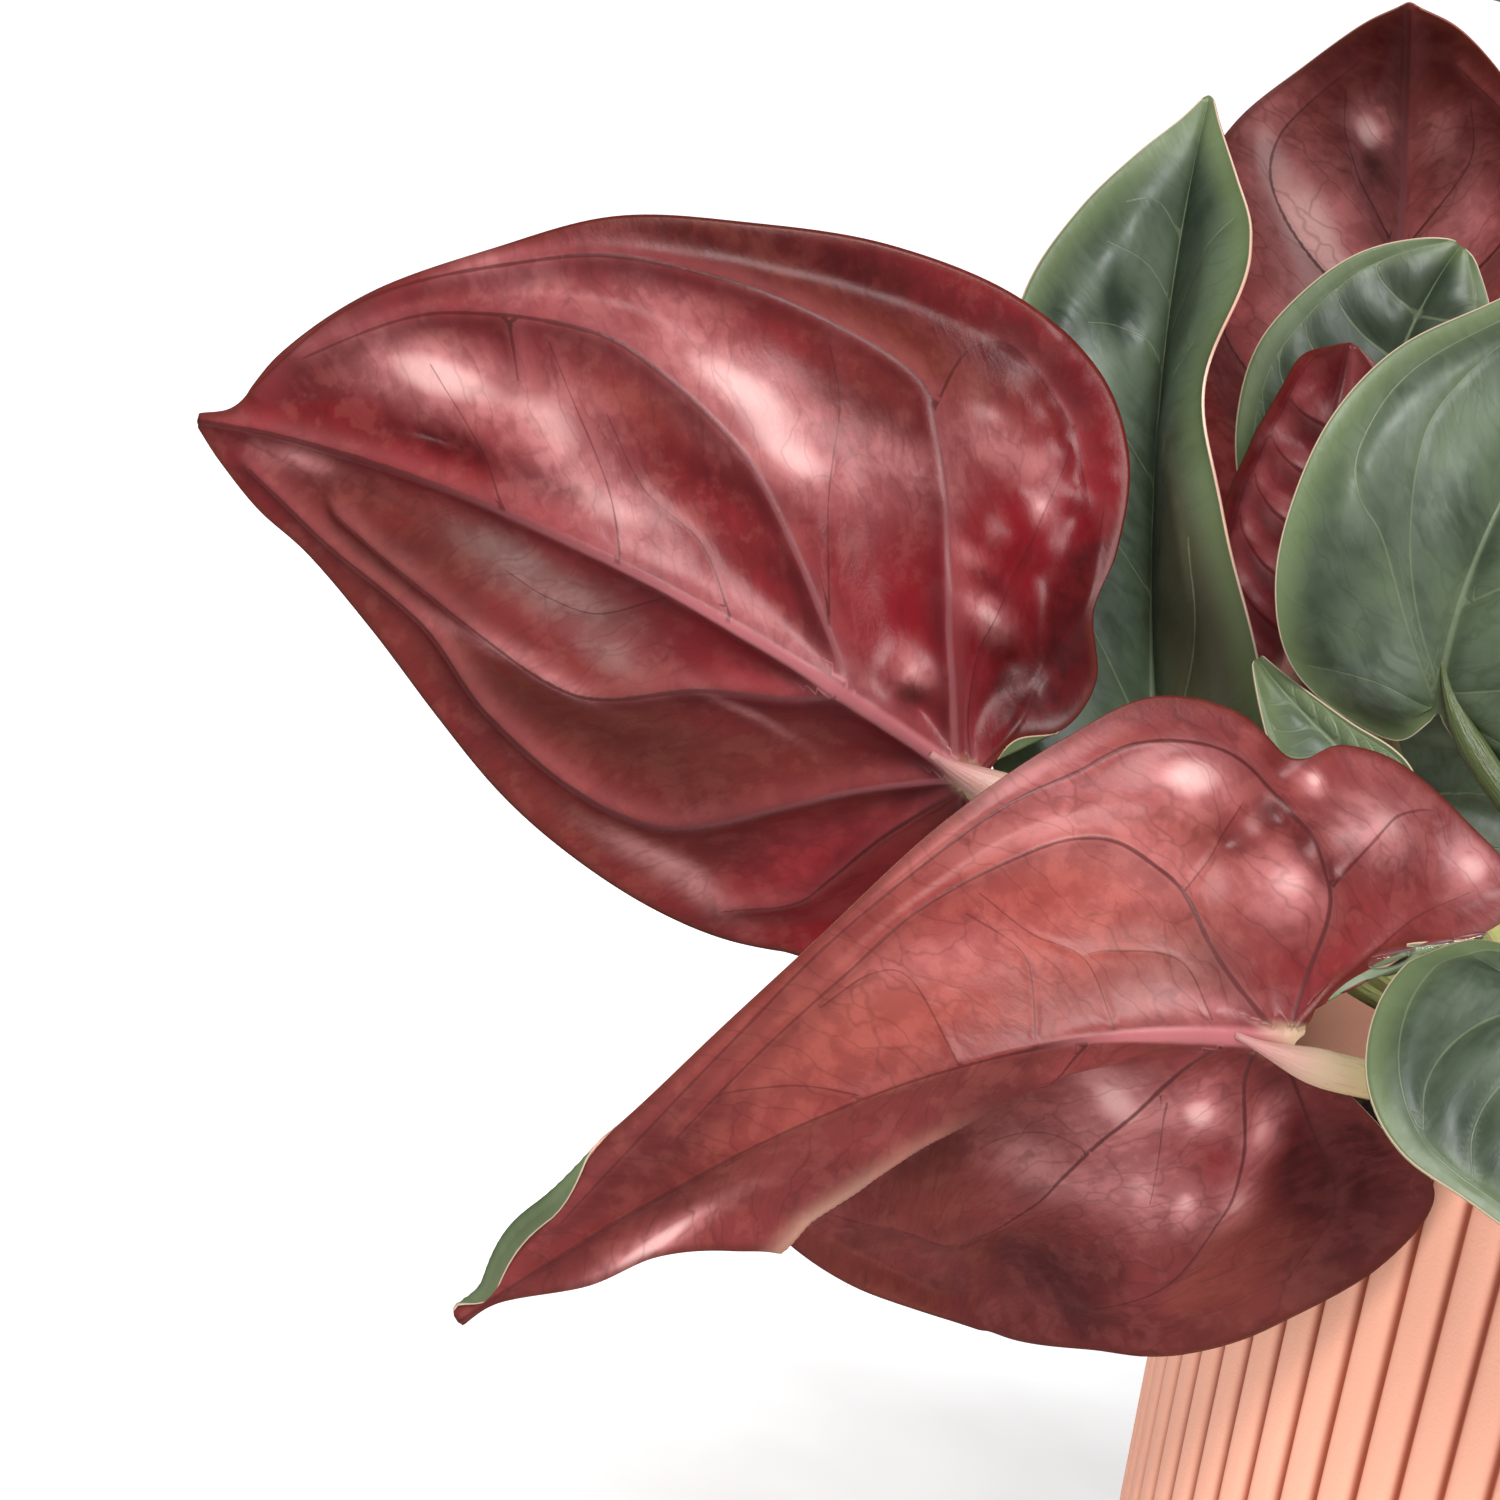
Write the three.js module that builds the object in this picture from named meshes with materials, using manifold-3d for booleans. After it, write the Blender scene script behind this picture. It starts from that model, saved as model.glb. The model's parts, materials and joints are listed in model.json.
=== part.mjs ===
// Potted red arrow syngonium: a ribbed pot, soil, leafy shoots and one blade for each leaf.
// Millimetres, +Z up. The origin is the middle of the pot's flat base.

import * as THREE from "three";
import { mergeVertices } from "three/addons/utils/BufferGeometryUtils.js";
import Module from "manifold-3d";

// Driving dimensions
const POT_HEIGHT = 118;
const RIM_RADIUS = 70;
const BASE_RADIUS = 59.5;
const WALL = 4;
const FLOOR = 5;
const FOOT_CHAMFER = 1.5;
const RIBS = 76;
const RIB_DEPTH = 1.3;
const FACETS_PER_RIB = 3;
const SOIL_TOP = 106;
const SOIL_RELIEF = 1.2;
const GAP = 0.3;
const STEM_RADIUS = 4;
const STEM_BOTTOM = 86;
const PETIOLE_RADIUS = 1.8;
const SHEATH_RADIUS = 2.8;
const SHEATH_SHARE = 0.34;
const BLADE_THICKNESS = 0.8;
const BLADE_COLUMNS = 3;
const BLADE_CLEARANCE = 0.32;
const JOINT_DROP = 2.6;
const HALF_WIDTH = 45;

const COLOURS = {
  pot: 0xe3a18c,
  soil: 0x3a2a20,
  shoot: 0x8f9a5c,
  redBlade: 0x8c3a40,
  greenBlade: 0x4c5f4a,
};

const wasm = await Module();
wasm.setup();

// Solids and booleans

function toSolid(geometry) {
  const bare = geometry.clone();
  bare.deleteAttribute("normal");
  bare.deleteAttribute("uv");
  const merged = mergeVertices(bare, 1e-4);
  return new wasm.Manifold(new wasm.Mesh({
    numProp: 3,
    vertProperties: new Float32Array(merged.attributes.position.array),
    triVerts: new Uint32Array(merged.index.array),
  }));
}

function toGeometry(solid) {
  const mesh = solid.getMesh();
  const geometry = new THREE.BufferGeometry();
  geometry.setAttribute("position", new THREE.BufferAttribute(mesh.vertProperties, 3));
  geometry.setIndex(new THREE.BufferAttribute(mesh.triVerts, 1));
  return geometry;
}

function largestPiece(solid) {
  return solid.decompose().sort((a, b) => b.volume() - a.volume())[0];
}

function named(name, geometry, colour, roughness) {
  const material = new THREE.MeshStandardMaterial({ color: colour, roughness, metalness: 0 });
  const mesh = new THREE.Mesh(geometry, material);
  mesh.name = name;
  return mesh;
}

// Pot: a tapered cup whose outer wall carries rounded upright ribs

function wallRadius(z) {
  const share = z / POT_HEIGHT;
  return BASE_RADIUS + (RIM_RADIUS - BASE_RADIUS) * Math.pow(share, 0.9);
}

function ribProfile(angle) {
  const phase = (angle * RIBS) / (2 * Math.PI);
  const across = 2 * (phase - Math.floor(phase)) - 1;
  return -RIB_DEPTH * across * across * across * across;
}

function latheSolid(profile, segments) {
  const points = profile.map(([r, z]) => new THREE.Vector2(r, z));
  const geometry = new THREE.LatheGeometry(points, segments);
  geometry.rotateX(Math.PI / 2);
  return geometry;
}

function makePot() {
  const levels = [FOOT_CHAMFER, 40, 80, POT_HEIGHT];
  const outline = [[0, 0], [wallRadius(0) - FOOT_CHAMFER, 0]];
  levels.forEach((z) => outline.push([wallRadius(z), z]));
  outline.push([0, POT_HEIGHT]);
  const outer = latheSolid(outline, RIBS * FACETS_PER_RIB);
  const place = outer.attributes.position;
  for (let i = 0; i < place.count; i += 1) {
    const radius = Math.hypot(place.getX(i), place.getY(i));
    if (radius > BASE_RADIUS / 2) {
      const ribbed = radius + ribProfile(Math.atan2(place.getY(i), place.getX(i)));
      place.setX(i, (place.getX(i) * ribbed) / radius);
      place.setY(i, (place.getY(i) * ribbed) / radius);
    }
  }
  const mouth = POT_HEIGHT + WALL;
  const inner = latheSolid([
    [0, FLOOR],
    [wallRadius(FLOOR) - WALL - 4, FLOOR],
    [wallRadius(FLOOR + 4) - WALL, FLOOR + 4],
    [wallRadius(60) - WALL, 60],
    [wallRadius(POT_HEIGHT) - WALL, POT_HEIGHT],
    [wallRadius(POT_HEIGHT) - WALL, mouth],
    [0, mouth],
  ], RIBS);
  return toGeometry(toSolid(outer).subtract(toSolid(inner)));
}

// Shoots: where each stem stands, how far it rises and where it leans to

const SHOOTS = {
  front_left: { foot: [-28, -20], head: [-30, -21, 124] },
  left: { foot: [-36, 6], head: [-39, 6, 125] },
  front: { foot: [-6, -36], head: [-6, -38, 126] },
  back: { foot: [-12, 32], head: [-13, 34, 128] },
  right: { foot: [26, -18], head: [29, -19, 130] },
  back_right: { foot: [24, 22], head: [26, 24, 132] },
};

// Soil: a filling with a crumbly top and a plain hole for each stem

function soilHeight(x, y) {
  const waves = Math.sin(0.31 * x + 0.6) * Math.cos(0.27 * y) + 0.6 * Math.sin(0.53 * y + 0.17 * x);
  return SOIL_TOP + SOIL_RELIEF * waves;
}

function makeSoil() {
  const edge = (z) => wallRadius(z) - WALL - GAP - 0.35;
  const rings = [15, 30, 45];
  const profile = [
    [0, FLOOR + GAP],
    [edge(FLOOR) - 5, FLOOR + GAP],
    [edge(FLOOR + 5), FLOOR + 5],
    [edge(60), 60],
    [edge(SOIL_TOP), SOIL_TOP - 2],
  ];
  rings.slice().reverse().forEach((r) => profile.push([r, SOIL_TOP]));
  profile.push([0, SOIL_TOP]);
  const geometry = latheSolid(profile, 36);
  const place = geometry.attributes.position;
  for (let i = 0; i < place.count; i += 1) {
    if (place.getZ(i) > SOIL_TOP - 3) {
      const lift = soilHeight(place.getX(i), place.getY(i)) - SOIL_TOP;
      place.setZ(i, place.getZ(i) + lift);
    }
  }
  let soil = toSolid(geometry);
  Object.values(SHOOTS).forEach(({ foot }) => {
    const radius = STEM_RADIUS + GAP + 0.35;
    const hole = new THREE.CylinderGeometry(radius, radius, 60, 16);
    hole.rotateX(Math.PI / 2);
    hole.translate(foot[0], foot[1], STEM_BOTTOM - GAP + 30);
    soil = soil.subtract(toSolid(hole));
  });
  return toGeometry(soil);
}

// Leaf blades
// A blade is drawn flat first: along the midrib (a) and out from it (w), each side from the
// petiole round its lobe to the tip. It is then bent: along the midrib's curve, folded up from
// the midrib, curled towards its edge, waved and, in one leaf, pleated.

function alongList(list, share) {
  const last = list.length - 1;
  const x = Math.min(Math.max(share, 0), 1) * last;
  const i = Math.min(Math.floor(x), last - 1);
  const f = x - i;
  const pick = (k) => [].concat(list[Math.min(Math.max(k, 0), last)]);
  const b = pick(i);
  const c = pick(i + 1);
  const a = i > 0 ? pick(i - 1) : b.map((v, k) => 2 * v - c[k]);
  const d = i < last - 1 ? pick(i + 2) : c.map((v, k) => 2 * v - b[k]);
  return b.map((v, k) => 0.5 * (2 * v + (c[k] - a[k]) * f
    + (2 * a[k] - 5 * v + 4 * c[k] - d[k]) * f * f
    + (3 * v - a[k] - 3 * c[k] + d[k]) * f * f * f));
}

function smooth(x) {
  const c = Math.min(Math.max(x, 0), 1);
  return c * c * (3 - 2 * c);
}

function footShare(q) {
  return 0.1 * q + 0.9 * Math.pow(Math.max(q - 0.22, 0) / 0.78, 1.25);
}

const vector = (p) => new THREE.Vector3(...p);

function midribOf(leaf) {
  return new THREE.CubicBezierCurve3(...leaf.midrib.map(vector));
}

function bladePoint(leaf, curve, length, side, q, t) {
  const half = side > 0 ? leaf.left : leaf.right;
  const [outA, outW] = alongList(half.outline, q);
  const root = footShare(q) * length;
  const a = root + (outA - root) * Math.pow(t, 1.25);
  const w = outW * Math.pow(t, 0.92);
  const fold = THREE.MathUtils.degToRad(alongList(half.fold, q)[0]);
  const curl = THREE.MathUtils.degToRad(alongList(half.curl, q)[0]) / HALF_WIDTH || 1e-6;
  const share = Math.min(Math.max(a / length, 0), 1);
  const along = curve.getTangent(share);
  const up = vector(leaf.face[0]).normalize().lerp(vector(leaf.face[1]).normalize(), share);
  up.addScaledVector(along, -up.dot(along)).normalize();
  const across = new THREE.Vector3().crossVectors(up, along);
  let out = (Math.sin(fold + curl * w) - Math.sin(fold)) / curl;
  let lift = -(Math.cos(fold + curl * w) - Math.cos(fold)) / curl;
  let slideA = 0;
  if (half.pleat) {
    const { from, to, width, depth, slide, fade } = half.pleat;
    const run = Math.hypot(to[0] - from[0], to[1] - from[1]);
    const la = (to[0] - from[0]) / run;
    const lw = (to[1] - from[1]) / run;
    const off = (w - from[1]) * la - (a - from[0]) * lw;
    const on = (a - from[0]) * la + (w - from[1]) * lw;
    const amount = smooth(0.5 + (0.5 * off) / width) * smooth(on / fade);
    lift += depth * amount;
    out -= slide * amount * la;
    slideA = slide * amount * lw;
  }
  if (half.wave) {
    const [height, count, start] = half.wave;
    lift += height * t * t * Math.sin(2 * Math.PI * (count * q + start));
  }
  (half.bulges || []).forEach(([atQ, atT, widthQ, widthT, height]) => {
    lift += height * Math.exp(-(((q - atQ) / widthQ) ** 2) - ((t - atT) / widthT) ** 2);
  });
  return curve.getPoint(share)
    .addScaledVector(along, Math.min(a, 0) + slideA)
    .addScaledVector(across, side * out)
    .addScaledVector(up, lift);
}

function bladeSheet(leaf) {
  const curve = midribOf(leaf);
  const length = curve.getLength();
  const rows = leaf.left.outline.length - 1;
  const columns = leaf.columns || BLADE_COLUMNS;
  const wide = 2 * columns + 1;
  const points = [];
  const index = [];
  for (let i = 0; i <= rows; i += 1) {
    for (let j = -columns; j <= columns; j += 1) {
      const side = j < 0 ? -1 : 1;
      const p = bladePoint(leaf, curve, length, side, i / rows, Math.abs(j) / columns);
      points.push(p.x, p.y, p.z);
    }
  }
  for (let i = 0; i < rows; i += 1) {
    for (let j = 0; j < 2 * columns; j += 1) {
      const a = i * wide + j;
      const [b, c, d] = [a + 1, a + wide, a + wide + 1];
      if (j < columns) index.push(a, b, c, b, d, c);
      else index.push(a, b, d, a, d, c);
    }
  }
  const sheet = new THREE.BufferGeometry();
  sheet.setAttribute("position", new THREE.Float32BufferAttribute(points, 3));
  sheet.setIndex(index);
  sheet.computeVertexNormals();
  return { sheet, rows, wide };
}

function bladeSolid(leaf) {
  const { sheet, rows, wide } = bladeSheet(leaf);
  const place = sheet.attributes.position;
  const normal = sheet.attributes.normal;
  const count = place.count;
  const points = [];
  [0.5, -0.5].forEach((layer) => {
    for (let i = 0; i < count; i += 1) {
      const p = new THREE.Vector3().fromBufferAttribute(place, i);
      p.addScaledVector(new THREE.Vector3().fromBufferAttribute(normal, i), layer * BLADE_THICKNESS);
      points.push(p.x, p.y, p.z);
    }
  });
  const index = [];
  const sheetIndex = Array.from(sheet.index.array);
  for (let i = 0; i < sheetIndex.length; i += 3) {
    const [a, b, c] = sheetIndex.slice(i, i + 3);
    index.push(a, b, c, a + count, c + count, b + count);
  }
  const rim = [];
  for (let j = 0; j < wide; j += 1) rim.push(j);
  for (let i = 1; i <= rows; i += 1) rim.push(i * wide + wide - 1);
  for (let j = wide - 2; j >= 0; j -= 1) rim.push(rows * wide + j);
  for (let i = rows - 1; i >= 1; i -= 1) rim.push(i * wide);
  rim.forEach((a, k) => {
    const b = rim[(k + 1) % rim.length];
    index.push(a, a + count, b, b, a + count, b + count);
  });
  const blade = new THREE.BufferGeometry();
  blade.setAttribute("position", new THREE.Float32BufferAttribute(points, 3));
  blade.setIndex(index);
  return blade;
}

// An arrow-shaped outline for the leaves that the photograph doesn't show

function arrow(length, width, lobe) {
  const shape = [
    [-0.1, 0.035], [-0.45, 0.158], [-0.9, 0.4], [-0.8, 0.72], [0.02, 0.97], [0.2, 1.0],
    [0.38, 0.9], [0.54, 0.7], [0.7, 0.45], [0.84, 0.22], [0.94, 0.08], [1.0, 0.02],
  ];
  return shape.map(([a, w]) => [a < 0 ? a * lobe : a * length, w * width]);
}

function plainHalf(length, width, lobe, fold, curl, wave) {
  return { outline: arrow(length, width, lobe), fold, curl, wave };
}

// Leaves: those of the photograph first, drawn by their own outlines, then the rest of the plant

const LEAVES = [
  {
    name: "blade_01_large_left",
    colour: "redBlade",
    columns: 5,
    shoot: "front_left",
    petiole: [[-58, -23, 141], [-97, -23, 147]],
    midrib: [[-107, -28, 142], [-134, -36, 154], [-173, -34, 164], [-206, -16, 158]],
    face: [[0.12, 1, 0.02], [0.1, 1, 0.12]],
    left: {
      outline: [[-0.4, 1.2], [-2, 8], [-4, 17], [-2, 27], [3, 39], [14, 49.5], [27, 52], [42, 49],
        [56, 43], [68, 37], [78, 28], [88, 19], [96, 9.5], [100, 2.6], [105, 0.7]],
      fold: [10, 14, 14, 10],
      curl: [15, 22, 18, 10],
    },
    right: {
      outline: [[-1.5, 0.8], [-10, 7], [-15.5, 16], [-13, 27], [-3, 33], [10, 38], [25, 40],
        [41, 39], [55, 35.5], [68, 29], [80, 21], [90, 14], [97, 10], [102, 5], [105, 0.7]],
      fold: [12, 14, 12, 8],
      curl: [8, 12, 12, 8],
    },
  },
  {
    name: "blade_02_lower_left",
    colour: "redBlade",
    shoot: "front_left",
    columns: 6,
    petiole: [[-42, -38, 126], [-57, -58, 124]],
    midrib: [[-68, -66, 130], [-98, -76, 129], [-122, -84, 111], [-148, -72, 77]],
    face: [[-0.1, 0.9, -0.1], [0, 0.8, 0.35]],
    left: {
      outline: [[-1, 1], [-4, 7.5], [-11.5, 12.5], [-21, 15], [-26, 21], [-19, 28], [-11, 33.5],
        [-4, 34.5], [1.5, 32], [7, 36.5], [15, 37.5], [24, 33], [37, 26], [51, 18.5], [65, 13],
        [79, 7.5], [92, 4], [102, 0.8]],
      fold: [5, 10, 12, 12],
      curl: [20, 25, 20, 10],
      bulges: [[0.34, 0.7, 0.07, 0.2, -2.4], [0.3, 0.45, 0.07, 0.16, -1.8], [0.52, 0.7, 0.07, 0.2, -1.8]],
    },
    right: {
      outline: [[-2, 0.6], [-14, 8.5], [-23, 15.5], [-21, 26], [-15, 35], [-6, 45], [5, 55],
        [20, 62], [37, 63], [52, 58], [65, 48], [73, 33], [75, 19], [80, 11], [86, 7], [92, 4.5],
        [98, 2], [102, 0.8]],
      fold: [14, 16, 14, 12],
      curl: [20, 25, 20, 10],
      pleat: { from: [6, 0], to: [74, 25], width: 3.6, depth: 9, slide: 8.5, fade: 34 },
    },
  },
  {
    name: "blade_03_top",
    colour: "redBlade",
    shoot: "back",
    petiole: [[-30, 38, 146], [-58, 46, 166]],
    midrib: [[-63, 46, 183], [-68, 40, 201], [-74, 28, 223], [-80, 12, 241]],
    face: [[0, 1, 0.4], [0, 0.95, 0.7]],
    left: {
      outline: [[-1, 0.8], [-6, 5], [-9, 12], [-4, 20], [6, 25], [18, 26], [30, 24], [41, 20],
        [51, 15.5], [59, 11], [65.5, 6], [69, 1]],
      fold: [8, 10, 10, 8],
      curl: [20, 25, 20, 10],
    },
    right: {
      outline: [[-1, 0.8], [-7, 5], [-9.5, 13], [-6, 22], [4, 28], [16, 30], [28, 29], [39, 26.5],
        [48, 21.5], [57, 13.5], [65, 6], [69, 1]],
      fold: [8, 10, 10, 8],
      curl: [20, 25, 20, 10],
    },
  },
  {
    name: "blade_04_upright_green",
    colour: "greenBlade",
    shoot: "left",
    petiole: [[-60, 0, 128], [-83, -6, 134]],
    midrib: [[-86, -6, 146], [-93, 2, 169], [-99, 10, 195], [-100, 16, 224]],
    face: [[-0.05, -1, 0.15], [-0.1, -0.95, 0.15]],
    left: {
      outline: [[-1, 0.8], [-4.5, 4], [-6, 9], [-3, 14], [4, 16.5], [14, 18], [25, 19], [37, 20],
        [48, 20], [58, 18], [67, 13], [74, 7.5], [79, 3], [82, 0.8]],
      fold: [10, 12, 14, 14, 12, 10],
      curl: [15, 20, 15, 10],
    },
    right: {
      outline: [[-1, 0.8], [-5, 4], [-6, 9.5], [-3, 14], [5, 16.3], [14, 16.8], [24, 16.5],
        [35, 15.5], [46, 13], [57, 14.5], [66, 11.5], [73, 6.5], [79, 2.5], [82, 0.8]],
      fold: [15, 20, 28, 42, 58, 66, 45, 25, 15],
      curl: [8, 8, 8, 8],
    },
  },
  {
    name: "blade_05_half_hidden_green",
    colour: "greenBlade",
    shoot: "left",
    petiole: [[-48, 12, 140], [-66, 15, 160]],
    midrib: [[-69, 16, 174], [-70, 16, 187], [-70, 20, 202], [-65, 22, 214]],
    face: [[-0.05, -1, 0.1], [-0.1, -1, 0.1]],
    left: {
      outline: [[-0.6, 0.8], [-2.5, 5], [1, 11], [7, 15], [14, 17], [21, 17], [28, 14], [34, 10],
        [39, 4.5], [41.5, 0.8]],
      fold: [8, 8],
      curl: [10, 10],
    },
    right: {
      outline: [[-0.6, 0.8], [-2, 4], [2, 8.5], [8, 12], [15, 14], [23, 13.5], [30, 11], [36, 7.5],
        [40, 3.5], [41.5, 0.8]],
      fold: [8, 8],
      curl: [10, 10],
    },
  },
  {
    name: "blade_06_young_red",
    colour: "redBlade",
    shoot: "left",
    petiole: [[-52, 6, 132], [-71, 1, 146]],
    midrib: [[-73, 0, 158], [-74, 2, 170], [-75, 6, 187], [-76, 8, 200]],
    face: [[0.3, 1, -0.1], [0.2, 1, 0.1]],
    left: {
      outline: [[-0.5, 0.8], [-1.5, 3.5], [3, 7], [9, 9.5], [16, 11], [23, 12], [30, 11], [36, 8.5],
        [40, 4.5], [42.5, 1]],
      fold: [8, 8],
      curl: [20, 20, 20, 10],
    },
    right: {
      outline: [[-0.5, 0.8], [-1.5, 3], [2, 6], [8, 9], [15, 10.5], [22, 11], [29, 9.5], [36, 7.5],
        [40.5, 5.5], [42.5, 1]],
      fold: [8, 8],
      curl: [20, 20, 20, 10],
    },
  },
  {
    name: "blade_07_right_green",
    colour: "greenBlade",
    shoot: "front",
    petiole: [[-22, -34, 148], [-52, -25, 152]],
    midrib: [[-57, -22, 163], [-61, -26, 179], [-56, -18, 199], [-42, 2, 223]],
    face: [[-0.1, -1, 0.2], [-0.1, -1, 0.5]],
    left: {
      outline: [[-0.8, 0.8], [-3, 5], [1, 12], [7, 18.5], [15, 22], [24, 23], [33, 22.5], [42, 19.5],
        [51, 13.5], [59, 8.5], [66, 3], [69.5, 0.8]],
      fold: [8, 10, 10, 8],
      curl: [15, 20, 20, 10],
    },
    right: {
      outline: [[-1, 0.6], [-6, 5], [-8, 13], [-5, 22], [4, 28], [15, 31.5], [27, 32.3], [39, 30],
        [50, 25], [60, 17], [66.5, 7], [69.5, 0.8]],
      fold: [8, 10, 10, 8],
      curl: [15, 20, 20, 10],
    },
  },
  {
    name: "blade_08_small_dark",
    colour: "greenBlade",
    shoot: "front_left",
    columns: 2,
    petiole: [[-40, -26, 142], [-56, -30, 148]],
    midrib: [[-60, -30, 153], [-64, -30, 156], [-73, -26, 159], [-79, -22, 164]],
    face: [[-0.05, -1, 0.3], [-0.1, -1, 0.3]],
    left: {
      outline: [[-0.4, 0.6], [-1.5, 4], [1, 8], [6, 9.5], [11, 8.5], [16, 5.5], [20, 3], [24, 0.6]],
      fold: [8, 8],
      curl: [10, 10],
    },
    right: {
      outline: [[-0.4, 0.6], [-1, 2.4], [2, 4], [6, 4.2], [11, 3.2], [16, 2.4], [20, 1.6], [24, 0.6]],
      fold: [8, 8],
      curl: [10, 10],
    },
  },
  {
    name: "blade_09_front_green",
    colour: "greenBlade",
    shoot: "front",
    petiole: [[-16, -52, 146], [-34, -76, 152]],
    midrib: [[-44, -82, 146], [-42, -98, 139], [-31, -108, 127], [-15, -104, 112]],
    face: [[-0.1, -1, 0.35], [-0.1, -1, 0]],
    left: {
      outline: [[-1, 0.8], [-5.5, 4.5], [-6, 11], [1, 17], [10, 20], [19, 20.5], [28, 19.5], [36, 17],
        [43, 13], [49, 7], [52.5, 3], [54, 0.8]],
      fold: [8, 10, 10, 8],
      curl: [15, 20, 20, 10],
    },
    right: {
      outline: [[-1, 0.8], [-6.5, 4], [-7, 9], [-2, 15], [5, 20.5], [12, 23], [18, 21.5], [24, 16],
        [32, 10.5], [40, 6.5], [48, 3], [54, 0.8]],
      fold: [8, 10, 10, 8],
      curl: [15, 20, 20, 10],
    },
  },
  {
    name: "blade_10_right_arch",
    colour: "greenBlade",
    shoot: "right",
    petiole: [[44, -18, 152], [66, -16, 154]],
    midrib: [[74, -18, 160], [102, -24, 172], [136, -30, 168], [164, -34, 144]],
    face: [[0, -0.2, 1], [0.5, -0.2, 0.85]],
    left: plainHalf(97, 40, 20, [8, 14, 12, 8], [-14, -18, -12, -8], [2.5, 2.2, 0.1]),
    right: plainHalf(97, 37, 17, [8, 14, 12, 8], [-14, -18, -12, -8], [2.5, 1.8, 0.4]),
  },
  {
    name: "blade_11_front_right",
    colour: "greenBlade",
    shoot: "right",
    petiole: [[32, -36, 144], [38, -56, 150]],
    midrib: [[42, -68, 147], [58, -94, 151], [76, -118, 138], [86, -132, 106]],
    face: [[0.2, -0.3, 0.95], [0.6, -0.6, 0.5]],
    left: plainHalf(92, 36, 18, [10, 14, 12, 8], [-16, -16, -12, -8], [2.2, 2, 0.3]),
    right: plainHalf(92, 38, 20, [10, 14, 12, 8], [-16, -16, -12, -8], [2.4, 2.3, 0.7]),
  },
  {
    name: "blade_12_right_upper",
    colour: "redBlade",
    shoot: "right",
    petiole: [[32, -18, 160], [46, -10, 184]],
    midrib: [[54, -10, 198], [70, -16, 216], [94, -22, 230], [122, -26, 232]],
    face: [[-0.6, -0.1, 0.8], [-0.1, -0.2, 1]],
    left: plainHalf(78, 30, 15, [12, 16, 12, 8], [10, 14, 10, 8], [1.8, 2, 0.5]),
    right: plainHalf(78, 32, 16, [12, 16, 12, 8], [10, 14, 10, 8], [1.8, 2.2, 0.1]),
  },
  {
    name: "blade_13_top_centre",
    colour: "redBlade",
    shoot: "back_right",
    petiole: [[22, 22, 170], [10, 12, 200]],
    midrib: [[8, 8, 214], [10, 2, 232], [18, -8, 252], [32, -22, 264]],
    face: [[-0.1, 0.9, 0.4], [-0.3, 0.7, 0.7]],
    left: plainHalf(63, 25, 12, [8, 12, 10, 8], [14, 18, 14, 8], [1.4, 2, 0.2]),
    right: plainHalf(63, 26, 13, [8, 12, 10, 8], [14, 18, 14, 8], [1.4, 2, 0.6]),
  },
  {
    name: "blade_14_back_right",
    colour: "greenBlade",
    shoot: "back_right",
    petiole: [[36, 32, 146], [52, 40, 146]],
    midrib: [[60, 46, 151], [88, 66, 166], [118, 90, 160], [142, 108, 134]],
    face: [[0.1, 0.1, 1], [0.55, 0.4, 0.75]],
    left: plainHalf(104, 40, 20, [8, 14, 12, 8], [-14, -18, -12, -8], [2.6, 2.1, 0.4]),
    right: plainHalf(104, 42, 21, [8, 14, 12, 8], [-14, -18, -12, -8], [2.6, 2, 0]),
  },
  {
    name: "blade_15_back",
    colour: "greenBlade",
    shoot: "back",
    petiole: [[-8, 44, 150], [8, 56, 154]],
    midrib: [[14, 64, 160], [22, 92, 178], [26, 126, 174], [28, 154, 150]],
    face: [[0, -0.1, 1], [0.05, 0.6, 0.8]],
    left: plainHalf(100, 39, 19, [8, 14, 12, 8], [-14, -18, -12, -8], [2.4, 2.3, 0.2]),
    right: plainHalf(100, 38, 20, [8, 14, 12, 8], [-14, -18, -12, -8], [2.4, 1.9, 0.6]),
  },
  {
    name: "blade_16_back_left",
    colour: "greenBlade",
    shoot: "back",
    petiole: [[-28, 42, 138], [-42, 50, 136]],
    midrib: [[-50, 54, 141], [-78, 76, 154], [-108, 98, 146], [-130, 112, 122]],
    face: [[-0.1, 0.1, 1], [-0.5, 0.4, 0.75]],
    left: plainHalf(100, 36, 18, [8, 14, 12, 8], [-14, -18, -12, -8], [2.2, 2, 0.1]),
    right: plainHalf(100, 37, 18, [8, 14, 12, 8], [-14, -18, -12, -8], [2.2, 2.2, 0.5]),
  },
  {
    name: "blade_17_front_low",
    colour: "greenBlade",
    shoot: "front",
    petiole: [[4, -50, 132], [8, -62, 132]],
    midrib: [[10, -74, 130], [16, -100, 134], [24, -122, 114], [28, -128, 84]],
    face: [[0.05, -0.3, 0.95], [0.2, -0.95, 0.35]],
    left: plainHalf(84, 31, 15, [10, 14, 12, 8], [-14, -16, -12, -8], [2, 2.2, 0.4]),
    right: plainHalf(84, 30, 15, [10, 14, 12, 8], [-14, -16, -12, -8], [2, 2, 0.9]),
  },
  {
    name: "blade_18_back_right_upper",
    colour: "redBlade",
    shoot: "back_right",
    petiole: [[30, 30, 170], [40, 40, 188]],
    midrib: [[46, 46, 198], [60, 62, 216], [76, 82, 226], [92, 104, 222]],
    face: [[-0.4, -0.4, 0.85], [0.05, 0.1, 1]],
    left: plainHalf(80, 30, 15, [12, 16, 12, 8], [10, 14, 10, 8], [1.8, 2.1, 0.3]),
    right: plainHalf(80, 31, 15, [12, 16, 12, 8], [10, 14, 10, 8], [1.8, 1.9, 0.8]),
  },
  {
    name: "blade_19_back_left_upper",
    colour: "greenBlade",
    shoot: "back",
    petiole: [[-16, 46, 150], [-18, 60, 168]],
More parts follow.
